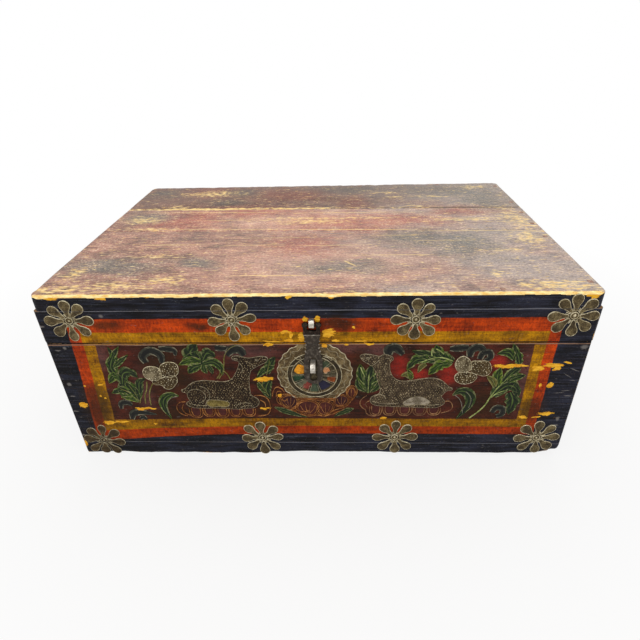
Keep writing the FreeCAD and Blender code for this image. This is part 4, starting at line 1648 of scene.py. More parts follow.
@dataclass
class Rosette:
    """An eight-petalled rosette: raised teardrop outlines, bronze fill and a button."""

    name: str
    centre: Spot
    reach: float
    turn: float
    body: str = "lid"
    crack: float = TRUNK.lid_joint
    dulled: bool = False
    seed: int = 1
    petals: int = 8
    petal_width: float = 13.0
    foot: float = 1.5
    shape: Path = (
        (0.22, 0.05), (0.48, 0.25), (0.76, 0.5), (0.93, 0.36), (1.0, 0.0), (0.93, -0.36),
        (0.76, -0.5), (0.48, -0.25), (0.22, -0.05),
    )

    def petal(self, angle: float, reach: float, width: float) -> Path:
        """Give one petal's outline: narrow at the ring, widest near its round end."""
        cosine, sine = math.cos(angle), math.sin(angle)
        return tuple(
            (
                self.centre[0] + cosine * (out * reach) - sine * (side * width),
                self.centre[1] + sine * (out * reach) + cosine * (side * width),
            )
            for out, side in self.shape
        )

    def ring(self, radius: float) -> Path:
        """Give a small ring's outline round the centre."""
        return tuple(polar(self.centre, radius, math.tau * at / 8) for at in range(8))

    def build(self) -> None:
        """Build the rosette."""
        rng = random.Random(self.seed)
        relief = Relief(TRUNK.lid_front if self.body == "lid" else TRUNK.base_front)
        lines, fills = [], []
        for at in range(self.petals):
            angle = math.tau * at / self.petals + math.radians(self.turn + rng.uniform(-3.5, 3.5))
            reach = self.reach * rng.uniform(0.94, 1.04)
            down = -math.sin(angle)
            if down > 0.3:
                # a petal that would pass the foot is shorter
                reach = min(reach, (self.centre[1] - self.foot) / down)
            outline = self.petal(angle, reach, self.petal_width * rng.uniform(0.9, 1.08))
            lines.append((outline, True))
            fills.append((relief.plate(outline, 0.35, 0.35, 0.6), 1))
            # short rays between the petals, where the outlines meet at the ring
            half = angle + math.pi / self.petals
            ends = (6.6, self.reach * rng.uniform(0.3, 0.4))
            lines.append((tuple(polar(self.centre, end, half) for end in ends), False))
        parts = [
            (relief.plate(self.ring(10.0), 0.12, 0, 0.4), 2),
            *fills,
            (relief.beads(lines, 1.15, 0.95), 0),
            (relief.beads([(self.ring(4.6), True)], 1.3, 1.1), 0),
            (relief.plate(self.ring(3.9), 0.4), 1),
            (relief.dots([self.centre], 3.4, 0.3, rng), 0),
        ]
        bm = relief.cracked(relief.merged(parts), self.crack, 0.8)
        finishes = (Finishes.GESSO_LINE, Finishes.BRONZE, Finishes.GROOVE)
        if self.dulled:
            finishes = (Finishes.DIM_LINE, Finishes.BLOSSOM, Finishes.GROOVE)
        link_piece(bm, self.name, finishes, self.body)


@dataclass
class Rosettes:
    """The eight rosettes, four along the lid and four along the foot: x, z, reach and turn."""

    lid: tuple[tuple[float, ...], ...] = (
        (-306.5, 234.7, 30.5, 2), (-99.8, 234.7, 30.0, 3), (128.2, 234.1, 30.0, 0),
        (317.2, 238.5, 30.5, 1),
    )
    foot: tuple[tuple[float, ...], ...] = (
        (-316.3, 26.7, 31.0, -6), (-78.6, 33.5, 31.5, 1), (112.7, 35.9, 31.5, 0),
        (313.3, 36.4, 30.5, 3),
    )

    def build(self) -> None:
        """Build all eight."""
        for body, crack, seed, row in (
            ("lid", TRUNK.lid_joint, 0, self.lid), ("base", TRUNK.foot_joint, 20, self.foot),
        ):
            for at, (x, z, reach, turn) in enumerate(row, 1):
                name = f"{'lid' if body == 'lid' else 'foot'}_rosette_{at}"
                dulled = body == "base" and at == 1
                Rosette(name, (x, z), reach, turn, body, crack, dulled, seed + at).build()


def inside_outline(spot: Spot, outline: Path) -> bool:
    """Say whether a place lies inside a closed outline.

    Args:
        spot: The place.
        outline: The outline's places.

    Returns:
        True if it is inside.
    """
    x, z = spot
    inside = False
    for (x0, z0), (x1, z1) in zip(outline, outline[1:] + outline[:1]):
        if (z0 > z) != (z1 > z) and x < (x1 - x0) * (z - z0) / (z1 - z0) + x0:
            inside = not inside
    return inside


def stipple(
    outline: Path, pitch: float, rng: random.Random, clear: tuple[Patch, ...] = ()
) -> list[Spot]:
    """Scatter places inside an outline, about a pitch apart.

    Args:
        outline: The outline's places.
        pitch: The spacing in millimetres.
        rng: The random numbers.
        clear: Patches that stay free.

    Returns:
        The places.
    """
    xs, zs = zip(*outline)
    spots = []
    rows = int((max(zs) - min(zs)) / pitch / 0.87) + 1
    columns = int((max(xs) - min(xs)) / pitch) + 1
    for row in range(rows):
        for column in range(columns):
            x = min(xs) + (column + 0.5 * (row % 2) + rng.uniform(-0.3, 0.3)) * pitch
            z = min(zs) + (row + rng.uniform(-0.3, 0.3)) * pitch * 0.87
            free = all(
                math.hypot((x - p.across) / p.half_long, (z - p.up) / p.half_high) > 1
                for p in clear
            )
            if free and inside_outline((x, z), outline):
                spots.append((x, z))
    return spots


@dataclass
class Deer:
    """A resting deer: an outlined, stippled bronze body with its folded legs drawn on."""

    name: str
    outline: Path
    lines: tuple[Path, ...]
    eye: Spot
    patch: Path
    patch_finish: ReliefPaint
    bare: tuple[Patch, ...]
    hide: ReliefPaint
    seed: int
    pitch: float = 3.5

    def build(self) -> None:
        """Build the deer."""
        rng = random.Random(self.seed)
        relief = Relief()
        eye = tuple(
            (self.eye[0] + 2.2 * math.cos(turn), self.eye[1] + 1.5 * math.sin(turn))
            for turn in (0, math.pi / 2, math.pi, 3 * math.pi / 2)
        )
        lines = [(eye, True), (self.patch, True), *((line, False) for line in self.lines)]
        spots = stipple(self.outline, self.pitch, rng, self.bare)
        inner = Relief(relief.face - 0.4)
        parts = [
            (relief.plate(self.outline, 0.4, 0.2, 0.8), 0),
            (inner.plate(self.patch, 0.25, 0, 0.5), 3),
            (relief.beads([(self.outline, True)], 0.85, 0.9), 1),
            (inner.beads(lines, 0.8, 0.55), 1),
            (relief.dots(spots, 1.22, 0.5, rng), 2),
            (relief.dots([self.eye], 1.5, 0.6, rng), 1),
        ]
        finishes = (self.hide, Finishes.DIM_LINE, Finishes.STIPPLE, self.patch_finish)
        link_piece(relief.merged(parts), self.name, finishes)


# The two resting deer that face the wheel.
DEER = (
    Deer(
        "left_deer",
        (
            (-60, 176), (-64, 178.5), (-74, 178), (-85, 176), (-93, 178), (-101, 179.5),
            (-107, 176.5), (-103, 173), (-98, 170), (-99.5, 163), (-103, 154), (-107.5, 146),
            (-113, 140), (-122, 137), (-136, 138), (-150, 139), (-162, 136.5), (-171, 131),
            (-177, 125), (-183, 121), (-177, 117), (-176, 109), (-175, 103), (-180, 98.5),
            (-176, 93), (-168, 90.5), (-150, 90), (-125, 89.5), (-105, 88.5), (-95, 90), (-84, 92),
            (-78.5, 97), (-77.5, 103), (-81, 109), (-87, 113), (-88, 122), (-88, 135), (-86, 148),
            (-83, 156), (-77, 161), (-70, 165), (-64, 168.5), (-60.5, 172),
        ),
        (
            ((-150, 101), (-146, 108), (-145, 117), (-148, 125), (-156, 129)),
            (
                (-173, 102), (-176, 111), (-172, 121), (-164, 124), (-155, 121), (-151, 113),
                (-154, 104), (-162, 99),
            ),
            ((-176, 99), (-168, 96), (-158, 94.5), (-148, 95.5)),
            ((-112, 91), (-107, 97), (-97, 100), (-87, 98)), ((-104, 91.5), (-97, 94.5), (-86, 94)),
            ((-76, 163), (-82, 166.5), (-87, 171)), ((-61.5, 173.5), (-67, 173.5)),
            ((-97, 168), (-94, 161), (-96, 152)), ((-104, 175.5), (-99, 174.5)),
        ),
        (-74, 173),
        ((-150, 103.5), (-140, 105), (-128, 104), (-119, 99.5), (-121, 94), (-135, 93), (-149, 94)),
        Finishes.OLIVE, (Patch(-135, 99, 17, 6.5), Patch(-74, 173, 4, 3)), Finishes.HIDE, 5,
    ),
    Deer(
        "right_deer",
        (
            (61, 179), (64, 181.5), (72, 181.5), (80, 180), (86, 178.5), (92, 181.5), (98, 180),
            (104, 174.5), (100, 169), (100, 160), (102, 151), (106, 144), (112, 139.5), (122, 138),
            (134, 140), (146, 142.5), (158, 143), (167, 140.5), (174, 135), (180, 128.5),
            (185, 124), (178, 121.5), (174.5, 117), (172, 111), (176, 105), (177, 100), (173, 96),
            (168, 92.5), (155, 92), (138, 92.5), (120, 93.5), (104, 94), (92, 95), (82, 96.5),
            (77, 101), (76, 107), (80, 112.5), (87, 116), (89, 123), (87, 132), (84, 142),
            (82, 151), (80, 158), (75, 164), (68, 169), (63, 174),
        ),
        (
            ((82, 112), (88, 115.5), (94, 113), (97, 107.5)),
            ((79, 103), (86, 101), (93, 99), (104, 99), (115, 100)),
            ((123, 96.5), (140, 97), (156, 96.5), (170, 98)), ((174, 122), (170, 128), (164, 131)),
            ((77, 164), (82, 168), (86, 173)), ((62, 176), (67, 176)),
            ((96, 168), (93, 161), (95, 152)), ((94, 176), (99, 175)),
        ),
        (71, 175.5),
        ((121, 99), (126, 106), (134, 110.5), (143, 111.5), (151, 108), (157, 100.5), (140, 98)),
        Finishes.ASH, (Patch(71, 175.5, 4, 3), Patch(139, 104, 19, 7.5)), Finishes.GREY_HIDE, 6,
    ),
)


def arch(x: float, top: float, bottom: float, width: float) -> Path:
    """Give a U-shaped lotus petal, open at the top.

    Args:
        x: Its middle.
        top: The height of its ends.
        bottom: Its lowest point.
        width: Its width.

    Returns:
        Its places.
    """
    half, tall = width / 2, top - bottom
    shape = ((1.0, 1.0), (0.96, 0.45), (0.62, 0.08))
    left = [(x - half * out, top if up == 1.0 else bottom + tall * up) for out, up in shape]
    return (*left, (x, bottom), *((2 * x - px, pz) for px, pz in reversed(left)))


@dataclass
class LotusRow:
    """A row of lotus petals under a deer (x, top, bottom, width), with hooks at its ends."""

    name: str
    line: ReliefPaint
    petals: tuple[tuple[float, ...], ...]
    hooks: tuple[Path, ...]

    def build(self) -> None:
        """Build the row."""
        relief = Relief()
        lines = [(hook, False) for hook in self.hooks]
        parts = []
        for x, top, bottom, width in self.petals:
            lines.append((arch(x, top, bottom, width), False))
            lines.append((arch(x, top, bottom + 2.4, width * 0.66), False))
            hollow = arch(x, top, bottom + 2.6, width * 0.6)
            parts.append((relief.plate(hollow, 0.12, 0, 0.3), 1))
        parts.append((relief.beads(lines, 1.3, 0.85), 0))
        link_piece(relief.merged(parts), self.name, (self.line, Finishes.HOLLOW))


# The rows of petals that the deer rest on.
LOTUS_ROWS = (
    LotusRow(
        "left_lotus_row", Finishes.TAN_LINE,
        (
            (-168.5, 90, 72, 19), (-150, 89.5, 74.5, 17), (-131, 89, 73, 18.5),
            (-112, 88.5, 74, 18), (-93, 89, 75, 18),
        ),
        (
            ((-181, 101.5), (-190, 99.5), (-194.5, 93), (-194, 84), (-189, 78), (-182, 75.5)),
            ((-185, 96), (-187.5, 88), (-184, 80), (-177, 76)),
            (
                (-83, 113), (-73, 112.5), (-66, 108), (-63, 100), (-63, 88), (-66, 80), (-73, 76.5),
                (-82, 75.5),
            ),
            ((-76, 105), (-70, 100), (-69, 92)),
        ),
    ),
    LotusRow(
        "right_lotus_row", Finishes.FADED_LINE,
        (
            (84, 94, 77, 17), (103, 93, 78, 18.5), (124, 92.5, 77.5, 19.5), (144.5, 91.5, 78, 18.5),
            (164, 91, 78.5, 18),
        ),
        (
            ((71, 113), (64.5, 107), (62, 99), (65, 92), (70, 87), (71.5, 81), (77, 77), (84, 76)),
            ((75, 104), (70, 99), (72, 92)),
            ((175, 101), (182, 103.5), (188, 97), (187.5, 89), (181, 84.5), (174, 82)),
        ),
    ),
)


@dataclass(frozen=True)
class WheelField:
    """One coloured field between the spokes: where it lies and its distemper."""

    at: float
    half_turn: float
    near: float
    far: float
    deep: str
    shade: str

    def finish(self) -> ReliefPaint:
        """Give the field's finish: chalky, patchy paint."""
        return ReliefPaint(f"wheel_field_{int(self.at) % 360}", (self.deep, self.shade), self.shade)


@dataclass
class Wheel:
    """The wheel behind the hasp: wavy rim, bronze band with curls, rings and fields."""

    centre: Spot = (1.3, 151.0)
    hub: Spot = (0.8, 147.5)
    rim: float = 49.3
    outer_ring: float = 36.3
    inner_ring: float = 30.3
    hub_ring: float = 9.0
    waves: int = 24
    wave: float = 0.75
    top: float = 197.0
    bottom: float = 109.5
    # what the hasp has pressed flat: half its width, from where up, and how high that may stand
    hasp_half: float = 15.0
    pressed_from: float = 130.0
    pressed: float = 0.38
    spokes: tuple[float, ...] = (40, 15, -2, -28, -75, -107, -131, -155, 178, 128, 62)
    fields: tuple[WheelField, ...] = (
        WheelField(26, 12, 14, 22, "#8c4c2a", "#dca06c"),
        WheelField(-13, 10, 18, 28, "#43200f", "#95481c"),
        WheelField(-52, 15, 13, 26, "#100f16", "#28263c"),
        WheelField(-92, 12, 13, 27, "#23291e", "#4a5642"),
        WheelField(-120, 10, 12, 25, "#451c16", "#8a4036"),
        WheelField(-143, 9, 14, 27, "#34352a", "#6c6a54"),
        WheelField(-169, 11, 13, 28, "#101c12", "#27402a"),
        WheelField(152, 14, 14, 27, "#9a5c0c", "#eda22a"),
        WheelField(50, 9, 17, 28, "#23291e", "#454e38"),
        WheelField(6, 8, 16, 28, "#262318", "#4e4632"),
    )
    volutes: tuple[Path, ...] = (
        (
            (13, 178.5), (19, 177), (24.5, 172.5), (23, 176.5), (28, 175), (31, 168), (36, 161),
            (42, 158.5), (48, 155),
        ),
        ((-24, 177), (-20, 174), (-16, 175.5), (-18, 179)), ((-45, 160), (-36, 161.5), (-26, 164)),
        ((-41, 156), (-37, 150), (-39, 145), (-34, 143)),
        ((-45, 131), (-39, 127), (-33, 132), (-36, 137)),
    )

    def circle(self, centre: Spot, radius: float, count: int, wave: float = 0.0) -> Path:
        """Give a closed ring's places, pushed in and out by turns for a wavy one."""
        return tuple(
            polar(centre, radius + (wave if at % 2 else -wave), math.tau * at / count)
            for at in range(count)
        )

    def sector(self, wedge: WheelField) -> Path:
        """Give the outline of one field between two spokes."""
        start, end = wedge.at - wedge.half_turn, wedge.at + wedge.half_turn
        low, high = wedge.near, wedge.far
        corners = (
            (low, start + 2), (high, start), (high + 0.4, wedge.at), (high, end), (low, end - 2),
            (low, wedge.at),
        )
        return tuple(polar(self.hub, r, math.radians(turn)) for r, turn in corners)

    def spoke(self, angle: float, side: float) -> Path:
        """Give one of a spoke's two lines, which part towards the rim."""
        cosine, sine = math.cos(angle), math.sin(angle)
        return tuple(
            (
                self.hub[0] + r * cosine - side * sine * r / 30,
                self.hub[1] + r * sine + side * cosine * r / 30,
            )
            for r in (self.hub_ring, 20.0, self.inner_ring)
        )

    def curl(self, turn: float, radius: float, size: float, way: int) -> Path:
        """Give a small comma-shaped curl on the band."""
        angle = math.radians(turn)
        x, z = polar(self.hub, radius, angle)
        return tuple(
            (x + way * size * grow * math.cos(t + angle), z + size * grow * math.sin(t + angle))
            for t, grow in ((0.0, 1.0), (1.2, 0.95), (2.4, 0.8), (3.6, 0.6), (4.8, 0.4))
        )

    def band(self, relief: Relief, near: float, far: float, height: float, middle: Spot) -> Mesh:
        """Spin a low flat band about the wheel's or the hub's middle.

        Args:
            relief: The face that it lies on.
            near: Its inner radius in millimetres.
            far: Its outer radius.
            height: Its height.
            middle: What it turns about.

        Returns:
            The mesh.
        """
        bm = bmesh.new()
        section = ((near, -0.25), (near + 0.5, height), (far - 0.5, height), (far, -0.25))
        verts = [bm.verts.new(Vector((r, relief.face - h, 0)) * MM) for r, h in section]
        edges = [bm.edges.new(pair) for pair in zip(verts, verts[1:])]
        bmesh.ops.spin(
            bm, geom=verts + edges, cent=(0, 0, 0), axis=(0, 1, 0), angle=math.tau,
            steps=64, use_merge=True,
        )
        bmesh.ops.translate(bm, verts=bm.verts, vec=Vector((middle[0], 0, middle[1])) * MM)
        bmesh.ops.recalc_face_normals(bm, faces=bm.faces)
        if sum(face.normal.y * face.calc_area() for face in bm.faces) > 0:
            bmesh.ops.reverse_faces(bm, faces=bm.faces)
        return bm

    def build(self) -> None:
        """Build the wheel."""
        relief = Relief()
        raised = Relief(relief.face - 0.3)
        rng = random.Random(9)
        spokes = [
            (self.spoke(math.radians(turn), side), False)
            for turn in self.spokes for side in (-1.6, 1.6)
        ]
        # a wavy scroll runs round the band with curls on both sides by turns
        curls = [(self.circle(self.centre, 43.2, 36, 1.7), True)]
        for turn, way in zip(range(5, 365, 20), (1, -1) * 9):
            curls.append((self.curl(turn, 41.5 + 3.4 * way, rng.uniform(1.1, 1.7), way), False))
        parts = [
            (self.band(relief, self.inner_ring, self.rim, 0.36, self.centre), 1),
            (
                self.band(relief, self.inner_ring, self.outer_ring, 0.44, self.hub),
                4 + len(self.fields),
            ),
            (relief.plate(self.circle(self.hub, self.inner_ring + 1.0, 16), 0.25, 0, 0.3), 2),
        ]
        for centre, radius, count, wave, width, height, number in (
            (self.centre, self.rim, self.waves * 2, self.wave, 1.15, 1.0, 0),
            (self.hub, self.outer_ring, 16, 0.0, 1.0, 0.95, 0),
            (self.hub, self.inner_ring, 16, 0.0, 1.0, 0.95, 0),
            (self.hub, self.hub_ring, 8, 0.0, 1.1, 0.9, 3),
        ):
            ring = [(self.circle(centre, radius, count, wave), True)]
            parts.append((relief.beads(ring, width, height), number))
        parts.append((relief.beads(spokes, 0.8, 0.7), 3))
        parts.append((raised.beads(curls, 0.8, 0.6), 3))
        parts.append((raised.beads([(line, False) for line in self.volutes], 0.9, 0.8), 0))
        for at, wedge in enumerate(self.fields):
            parts.append((relief.plate(self.sector(wedge), 0.42, 0, 0.4), 4 + at))
        bm = relief.merged(parts)
        self.press(bm, relief.face)
        for level, way in ((self.top, 1), (self.bottom, -1)):
            bmesh.ops.bisect_plane(
                bm, geom=[*bm.verts, *bm.edges, *bm.faces], dist=ON_PLANE,
                plane_co=UP * level * MM, plane_no=UP * way, clear_outer=True,
            )
        finishes = (
            Finishes.GESSO_LINE, Finishes.WHEEL_BRONZE, Finishes.HUB, Finishes.DIM_LINE,
            *(wedge.finish() for wedge in self.fields),
            Finishes.GROOVE,
        )
        link_piece(bm, "dharma_wheel", finishes)

    def press(self, bm: Mesh, face: float) -> None:
        """Flatten the relief under the hasp, which has worn it down."""
        for vert in bm.verts:
            x, y, z = vert.co / MM
            free = min(1.0, max(0.0, (abs(x) - self.hasp_half + 1) / 4))
            limit = self.pressed + 1.2 * free
            if z >= self.pressed_from and face - y > limit:
                vert.co.y = (face - limit) * MM


@dataclass
class LotusSeat:
    """The lotus seat under the wheel: tan-lined lobes with dark, ribbed hollows."""

    foot: float = 75.0
    widening: float = 1.22
    lines: tuple[Path, ...] = (
        ((-28, 109), (-14, 108), (2, 107.6), (17, 108), (29, 108)),
        ((-25, 105.6), (-13, 104.8), (-4, 106), (6, 104.4), (15, 105.6), (26, 104.6)),
        ((-43, 95), (-49, 98), (-52.5, 105), (-49.5, 112), (-41, 115.5), (-31, 114), (-25, 109.5)),
        ((-46, 107), (-42, 103.5), (-38, 106)),
        ((-18, 101.5), (-24, 98), (-28, 92), (-24, 86), (-16, 84), (-8, 86)),
        (
            (44, 114), (43.5, 123), (49, 129.5), (55.5, 128), (58, 120), (55, 111), (50.5, 105),
            (46, 97), (38, 91), (29, 88), (22, 84),
        ),
        ((-58, 112), (-56, 121), (-51, 127.5), (-45, 125), (-41, 119)),
        ((-53, 111), (-50, 120), (-45, 119)),
        ((-22, 79), (-8, 75.6), (2, 77.5), (12, 75.6), (24, 80)), ((-40, 90), (-30, 85), (-22, 80)),
        ((40, 88), (32, 84), (24, 79)),
    )
    bed: Path = (
        (-50, 110), (-52, 103), (-44, 94), (-32, 86), (-22, 79), (-8, 76), (12, 76), (24, 79),
        (34, 86), (45, 94), (52, 104), (57, 116), (55, 126), (49, 128), (44, 120), (42, 113),
        (29, 108.5), (2, 108), (-28, 109), (-40, 115),
    )
    # each hollow's outline, its finish's number and its ribs
    hollows: tuple[tuple[Path, int, int], ...] = (
        (
            (
                (-46, 104), (-42, 110), (-33, 112.5), (-26, 108), (-25, 100), (-30, 92), (-37, 91),
                (-43, 96),
            ),
            2, 4,
        ),
        (
            (
                (-24, 92), (-19, 100), (-8, 102.5), (0, 99.5), (4, 94), (2, 86), (-4, 79),
                (-14, 80), (-21, 85),
            ),
            1, 4,
        ),
        (((5, 93), (10, 101), (18, 101), (24, 94), (21, 85), (13, 79), (6, 82)), 1, 3),
        (
            ((28, 104), (31, 111), (38, 112.5), (44, 109), (45, 102), (41, 97), (34, 95), (29, 98)),
            2, 3,
        ),
        (((46, 114), (46.5, 122), (50, 126), (54, 123), (54, 115), (50, 110)), 1, 1),
    )
    leaves: tuple[Blade, ...] = (
        Blade(3, ((-57, 92), (-40, 84), (-12, 73.5)), 9.5, 0.45, 0.1),
        Blade(3, ((54, 90), (42, 85), (26, 75)), 9.0, 0.45, 0.1),
    )

    def ribs(self, outline: Path, count: int) -> list[Line]:
        """Fan short ribs up from the bottom of a hollow."""
        xs, zs = zip(*outline)
        low, high, left, right = min(zs), max(zs), min(xs), max(xs)
        middle, tall = (left + right) / 2, high - low
        ribs = []
        for at in range(count):
            lean = (at + 0.5) / count - 0.5
            foot = (middle + 0.2 * lean * (right - left), low + 0.08 * tall)
            head = (middle + lean * (right - left), high - (0.1 + abs(lean) * 0.6) * tall)
            bend = ((foot[0] + head[0]) / 2 + 3 * lean, (foot[1] + head[1]) / 2)
            ribs.append(((foot, bend, head), False))
        return ribs

    def widened(self, outline: Path) -> Path:
        """Give an outline a fifth larger about its middle, kept above the foot of the seat."""
        x = sum(spot[0] for spot in outline) / len(outline)
        z = sum(spot[1] for spot in outline) / len(outline)
        by = self.widening
        return tuple((x + by * (u - x), max(z + by * (v - z), self.foot)) for u, v in outline)

    def build(self) -> None:
        """Build the seat."""
        relief = Relief()
        parts = [(leaf.mesh(relief, 0), leaf.tone) for leaf in self.leaves]
        parts.append((relief.plate(self.bed, 0.07, 0, 0.4), 5))
        rims, petals, ribs = [], [], []
        for outline, number, count in self.hollows:
            parts.append((relief.plate(outline, 0.14, 0, 0.3), number))
            rims.append((outline, True))
            petals.append((self.widened(outline), True))
            ribs += self.ribs(outline, count)
        lines = [(line, False) for line in self.lines]
        for drawn, width, height in (
            (lines, 1.15, 0.9), (petals, 0.8, 0.6), (rims, 0.9, 0.85), (ribs, 0.8, 0.5),
        ):
            parts.append((relief.beads(drawn, width, height), 0))
        finishes = (
            Finishes.TAN_LINE, Finishes.HOLLOW, Finishes.PLUM, Finishes.DARK_LEAF,
            Finishes.RUST_LINE, Finishes.AMBER,
        )
        link_piece(relief.merged(parts), "lotus_seat", finishes)


# The leaf paints that most groups share, by the numbers that their blades name.
LEAVES = (Finishes.LEAF, Finishes.FRESH_LEAF, Finishes.DARK_LEAF)
# The leaf scrolls between the figures, each a group of shaded blades and stems.
FOLIAGE = (
    Scroll(
        "left_plant",
        (
            Blade(2, ((-246, 104), (-256, 120), (-262, 142)), 32, 0.5, 0.3),
            Blade(2, ((-262, 138), (-270, 158), (-264, 176), (-268, 194)), 15, 0.3, 0.8),
            Blade(0, ((-249, 112), (-264, 122), (-282, 117)), 16, 0.45, 0.5, lobes=3),
            Blade(1, ((-262, 140), (-271, 146), (-281, 134)), 14, 0.5, 0.5),
            Blade(0, ((-266, 146), (-272, 160), (-265, 178), (-253, 195)), 15, 0.35, 0.6, lobes=3),
            Blade(0, ((-268, 161), (-258, 170), (-244, 181.5)), 9, 0.4, 0.3),
            Blade(2, ((-263, 132), (-258, 150), (-247, 153), (-239, 144)), 19, 0.4, 0.5, lobes=3),
            Blade(0, ((-246, 103), (-250, 120), (-259, 139)), 15, 0.5, 0.3),
            Blade(2, ((-246, 104), (-242, 122), (-238, 137), (-229, 142)), 12, 0.45, 0.3),
            Blade(1, ((-246, 102), (-257, 107), (-270, 110)), 8, 0.4, 0.4),
        ),
        (
            ((-247, 102), (-249, 116), (-255, 134)), ((-247, 102), (-256, 117), (-268, 125)),
            ((-245, 103), (-241, 118), (-234, 132)),
            ((-238, 98), (-236, 112), (-231, 124), (-228, 137)),
            ((-231, 95), (-229.5, 113), (-225, 126), (-220, 134)),
            ((-246, 99), (-243, 107), (-240, 113)),
        ),
        (*LEAVES, Finishes.STEM), 1.7,
    ),
    Scroll(
        "left_crescent",
        (
            Blade(
                0, ((-188, 111.5), (-200, 114), (-211, 105), (-213, 90), (-206, 69.5)), 13.5, 0.5,
                0.06,
            ),
        ),
        (((-190, 110.5), (-199, 108.5), (-206, 101), (-209, 88), (-207.5, 76)),),
        (Finishes.LEAF, Finishes.GREY_LINE), 0.9,
    ),
    Scroll(
        "neck_leaves",
        (
            Blade(2, ((-172, 170), (-150, 174), (-126, 168)), 26, 0.5, 0.4),
            Blade(2, ((-148, 172), (-160, 184), (-150, 198)), 24, 0.5, 0.7, lobes=3),
            Blade(1, ((-148, 171), (-163, 172), (-179, 165)), 13, 0.4, 0.5),
            Blade(0, ((-150, 164), (-160, 160), (-168, 151)), 14, 0.5, 0.5),
            Blade(2, ((-146, 172), (-138, 184), (-128, 178)), 17, 0.5, 0.6, lobes=3),
            Blade(0, ((-146, 167), (-133, 170), (-124, 162), (-122, 148)), 13, 0.4, 0.5),
            Blade(0, ((-146, 166), (-146, 158), (-143, 151)), 9, 0.5, 0.5),
            Blade(2, ((-140, 166), (-137, 158), (-135, 150)), 7, 0.5, 0.5),
        ),
        (
            ((-128, 142), (-122, 152), (-118.5, 165), (-116, 179), (-109, 190), (-99, 196.5)),
            ((-113, 142), (-116, 150), (-121, 156)), ((-131, 142), (-126, 150), (-124, 158)),
        ),
        (*LEAVES, Finishes.STEM), 1.6,
    ),
    Scroll(
        "wheel_leaves",
        (
            Blade(2, ((-62, 150), (-58, 165), (-50, 178)), 13, 0.5, 0.4),
            Blade(0, ((-52, 162), (-64, 158), (-77, 143)), 11, 0.4, 0.4),
            Blade(2, ((-60, 140), (-66, 124), (-61, 107)), 15, 0.4, 0.5),
            Blade(0, ((-76, 136), (-72, 126), (-64, 116)), 8, 0.4, 0.3),
        ),
        (((-57, 172), (-60, 160), (-63, 148)), ((-70, 138), (-70, 126), (-63, 113))),
        (*LEAVES, Finishes.STEM), 1.2,
    ),
    Scroll(
        "palmate_leaf",
        (
            Blade(2, ((70, 120), (61, 130), (58, 145)), 11, 0.5, 0.4),
            Blade(2, ((76, 120), (83, 128), (88, 139)), 11, 0.5, 0.4),
            Blade(0, ((71, 122), (64, 145), (61, 166)), 14, 0.55, 0.4),
            Blade(0, ((75, 122), (80, 140), (87, 152)), 12, 0.5, 0.4),
            Blade(2, ((73, 118), (73, 142), (76, 165)), 15, 0.55, 0.4),
        ),
        (
            ((72.5, 118), (73, 134), (73, 149)), ((62, 161), (65, 152), (68, 145)),
            ((62, 139), (67, 132)), ((79, 146), (82, 151)), ((77, 133), (83, 138)),
        ),
        (*LEAVES, Finishes.LEAF_VEIN), 2.0,
    ),
    Scroll(
        "leaf_sprig",
        (
            Blade(2, ((182, 170), (160, 176), (128, 172)), 20, 0.4, 0.4),
            Blade(0, ((178, 172), (165, 178), (156, 196)), 22, 0.45, 0.4, lobes=3),
            Blade(2, ((165, 176), (148, 180), (127, 187)), 14, 0.45, 0.4),
            Blade(0, ((152, 173), (134, 173), (122, 157)), 16, 0.45, 0.5, lobes=3),
            Blade(1, ((180, 167), (164, 164), (151, 149)), 18, 0.5, 0.3, lobes=3),
            Blade(3, ((147, 166), (141, 162), (137, 152)), 8, 0.4, 0.5),
            Blade(3, ((131, 142), (123, 149), (115, 147)), 9, 0.4, 0.5),
            Blade(1, ((129, 141), (127, 150), (123, 158)), 8, 0.4, 0.5),
        ),
        (
            ((139, 168.5), (148, 173), (158, 176), (169, 175.5), (180, 171)),
            ((157, 190), (162, 187), (168, 182)), ((153, 191), (152, 184), (153, 179)),
        ),
        (*LEAVES, Finishes.OLIVE_LEAF, Finishes.LEAF_VEIN), 2.1,
    ),
    Scroll(
        "right_plant",
        (
            Blade(2, ((240, 112), (252, 132), (266, 158)), 24, 0.5, 0.4),
            Blade(2, ((262, 120), (268, 104), (266, 80)), 22, 0.5, 0.6, lobes=3),
            Blade(2, ((242, 116), (256, 130), (268, 126), (274, 108)), 19, 0.45, 0.5, lobes=3),
            Blade(0, ((266, 165), (262, 178), (252, 198)), 13, 0.4, 0.5, lobes=3),
            Blade(0, ((258, 173), (249, 184), (235, 182)), 13, 0.5, 0.4),
            Blade(2, ((250, 136), (258, 150), (269, 164)), 16, 0.5, 0.5, lobes=3),
            Blade(1, ((245, 130), (241, 146), (243, 160)), 14, 0.5, 0.5),
            Blade(0, ((256, 137), (264, 144), (277, 148)), 13, 0.5, 0.4),
            Blade(3, ((240, 128), (237, 138), (227, 147)), 10, 0.5, 0.4),
        ),
        (
            (
                (214, 73), (224, 84), (232, 96), (237, 110), (243, 124), (250, 136), (258, 145.5),
                (269, 149),
            ),
            ((238, 110), (246, 118), (254, 122)), ((250, 146), (252, 153), (257, 158)),
        ),
        (*LEAVES, Finishes.OLIVE_LEAF, Finishes.LEAF_VEIN), 2.0,
    ),
    Scroll(
        "right_crescent",
        (Blade(2, ((186, 113), (196, 121), (208, 116), (211, 98), (196, 71)), 16, 0.5, 0.06),),
        (((189, 114.5), (196, 108), (201, 96), (203.5, 82)), ((204, 120), (212, 108), (211, 92))),
        (*LEAVES, Finishes.GREY_LINE), 1.0,
    ),
)
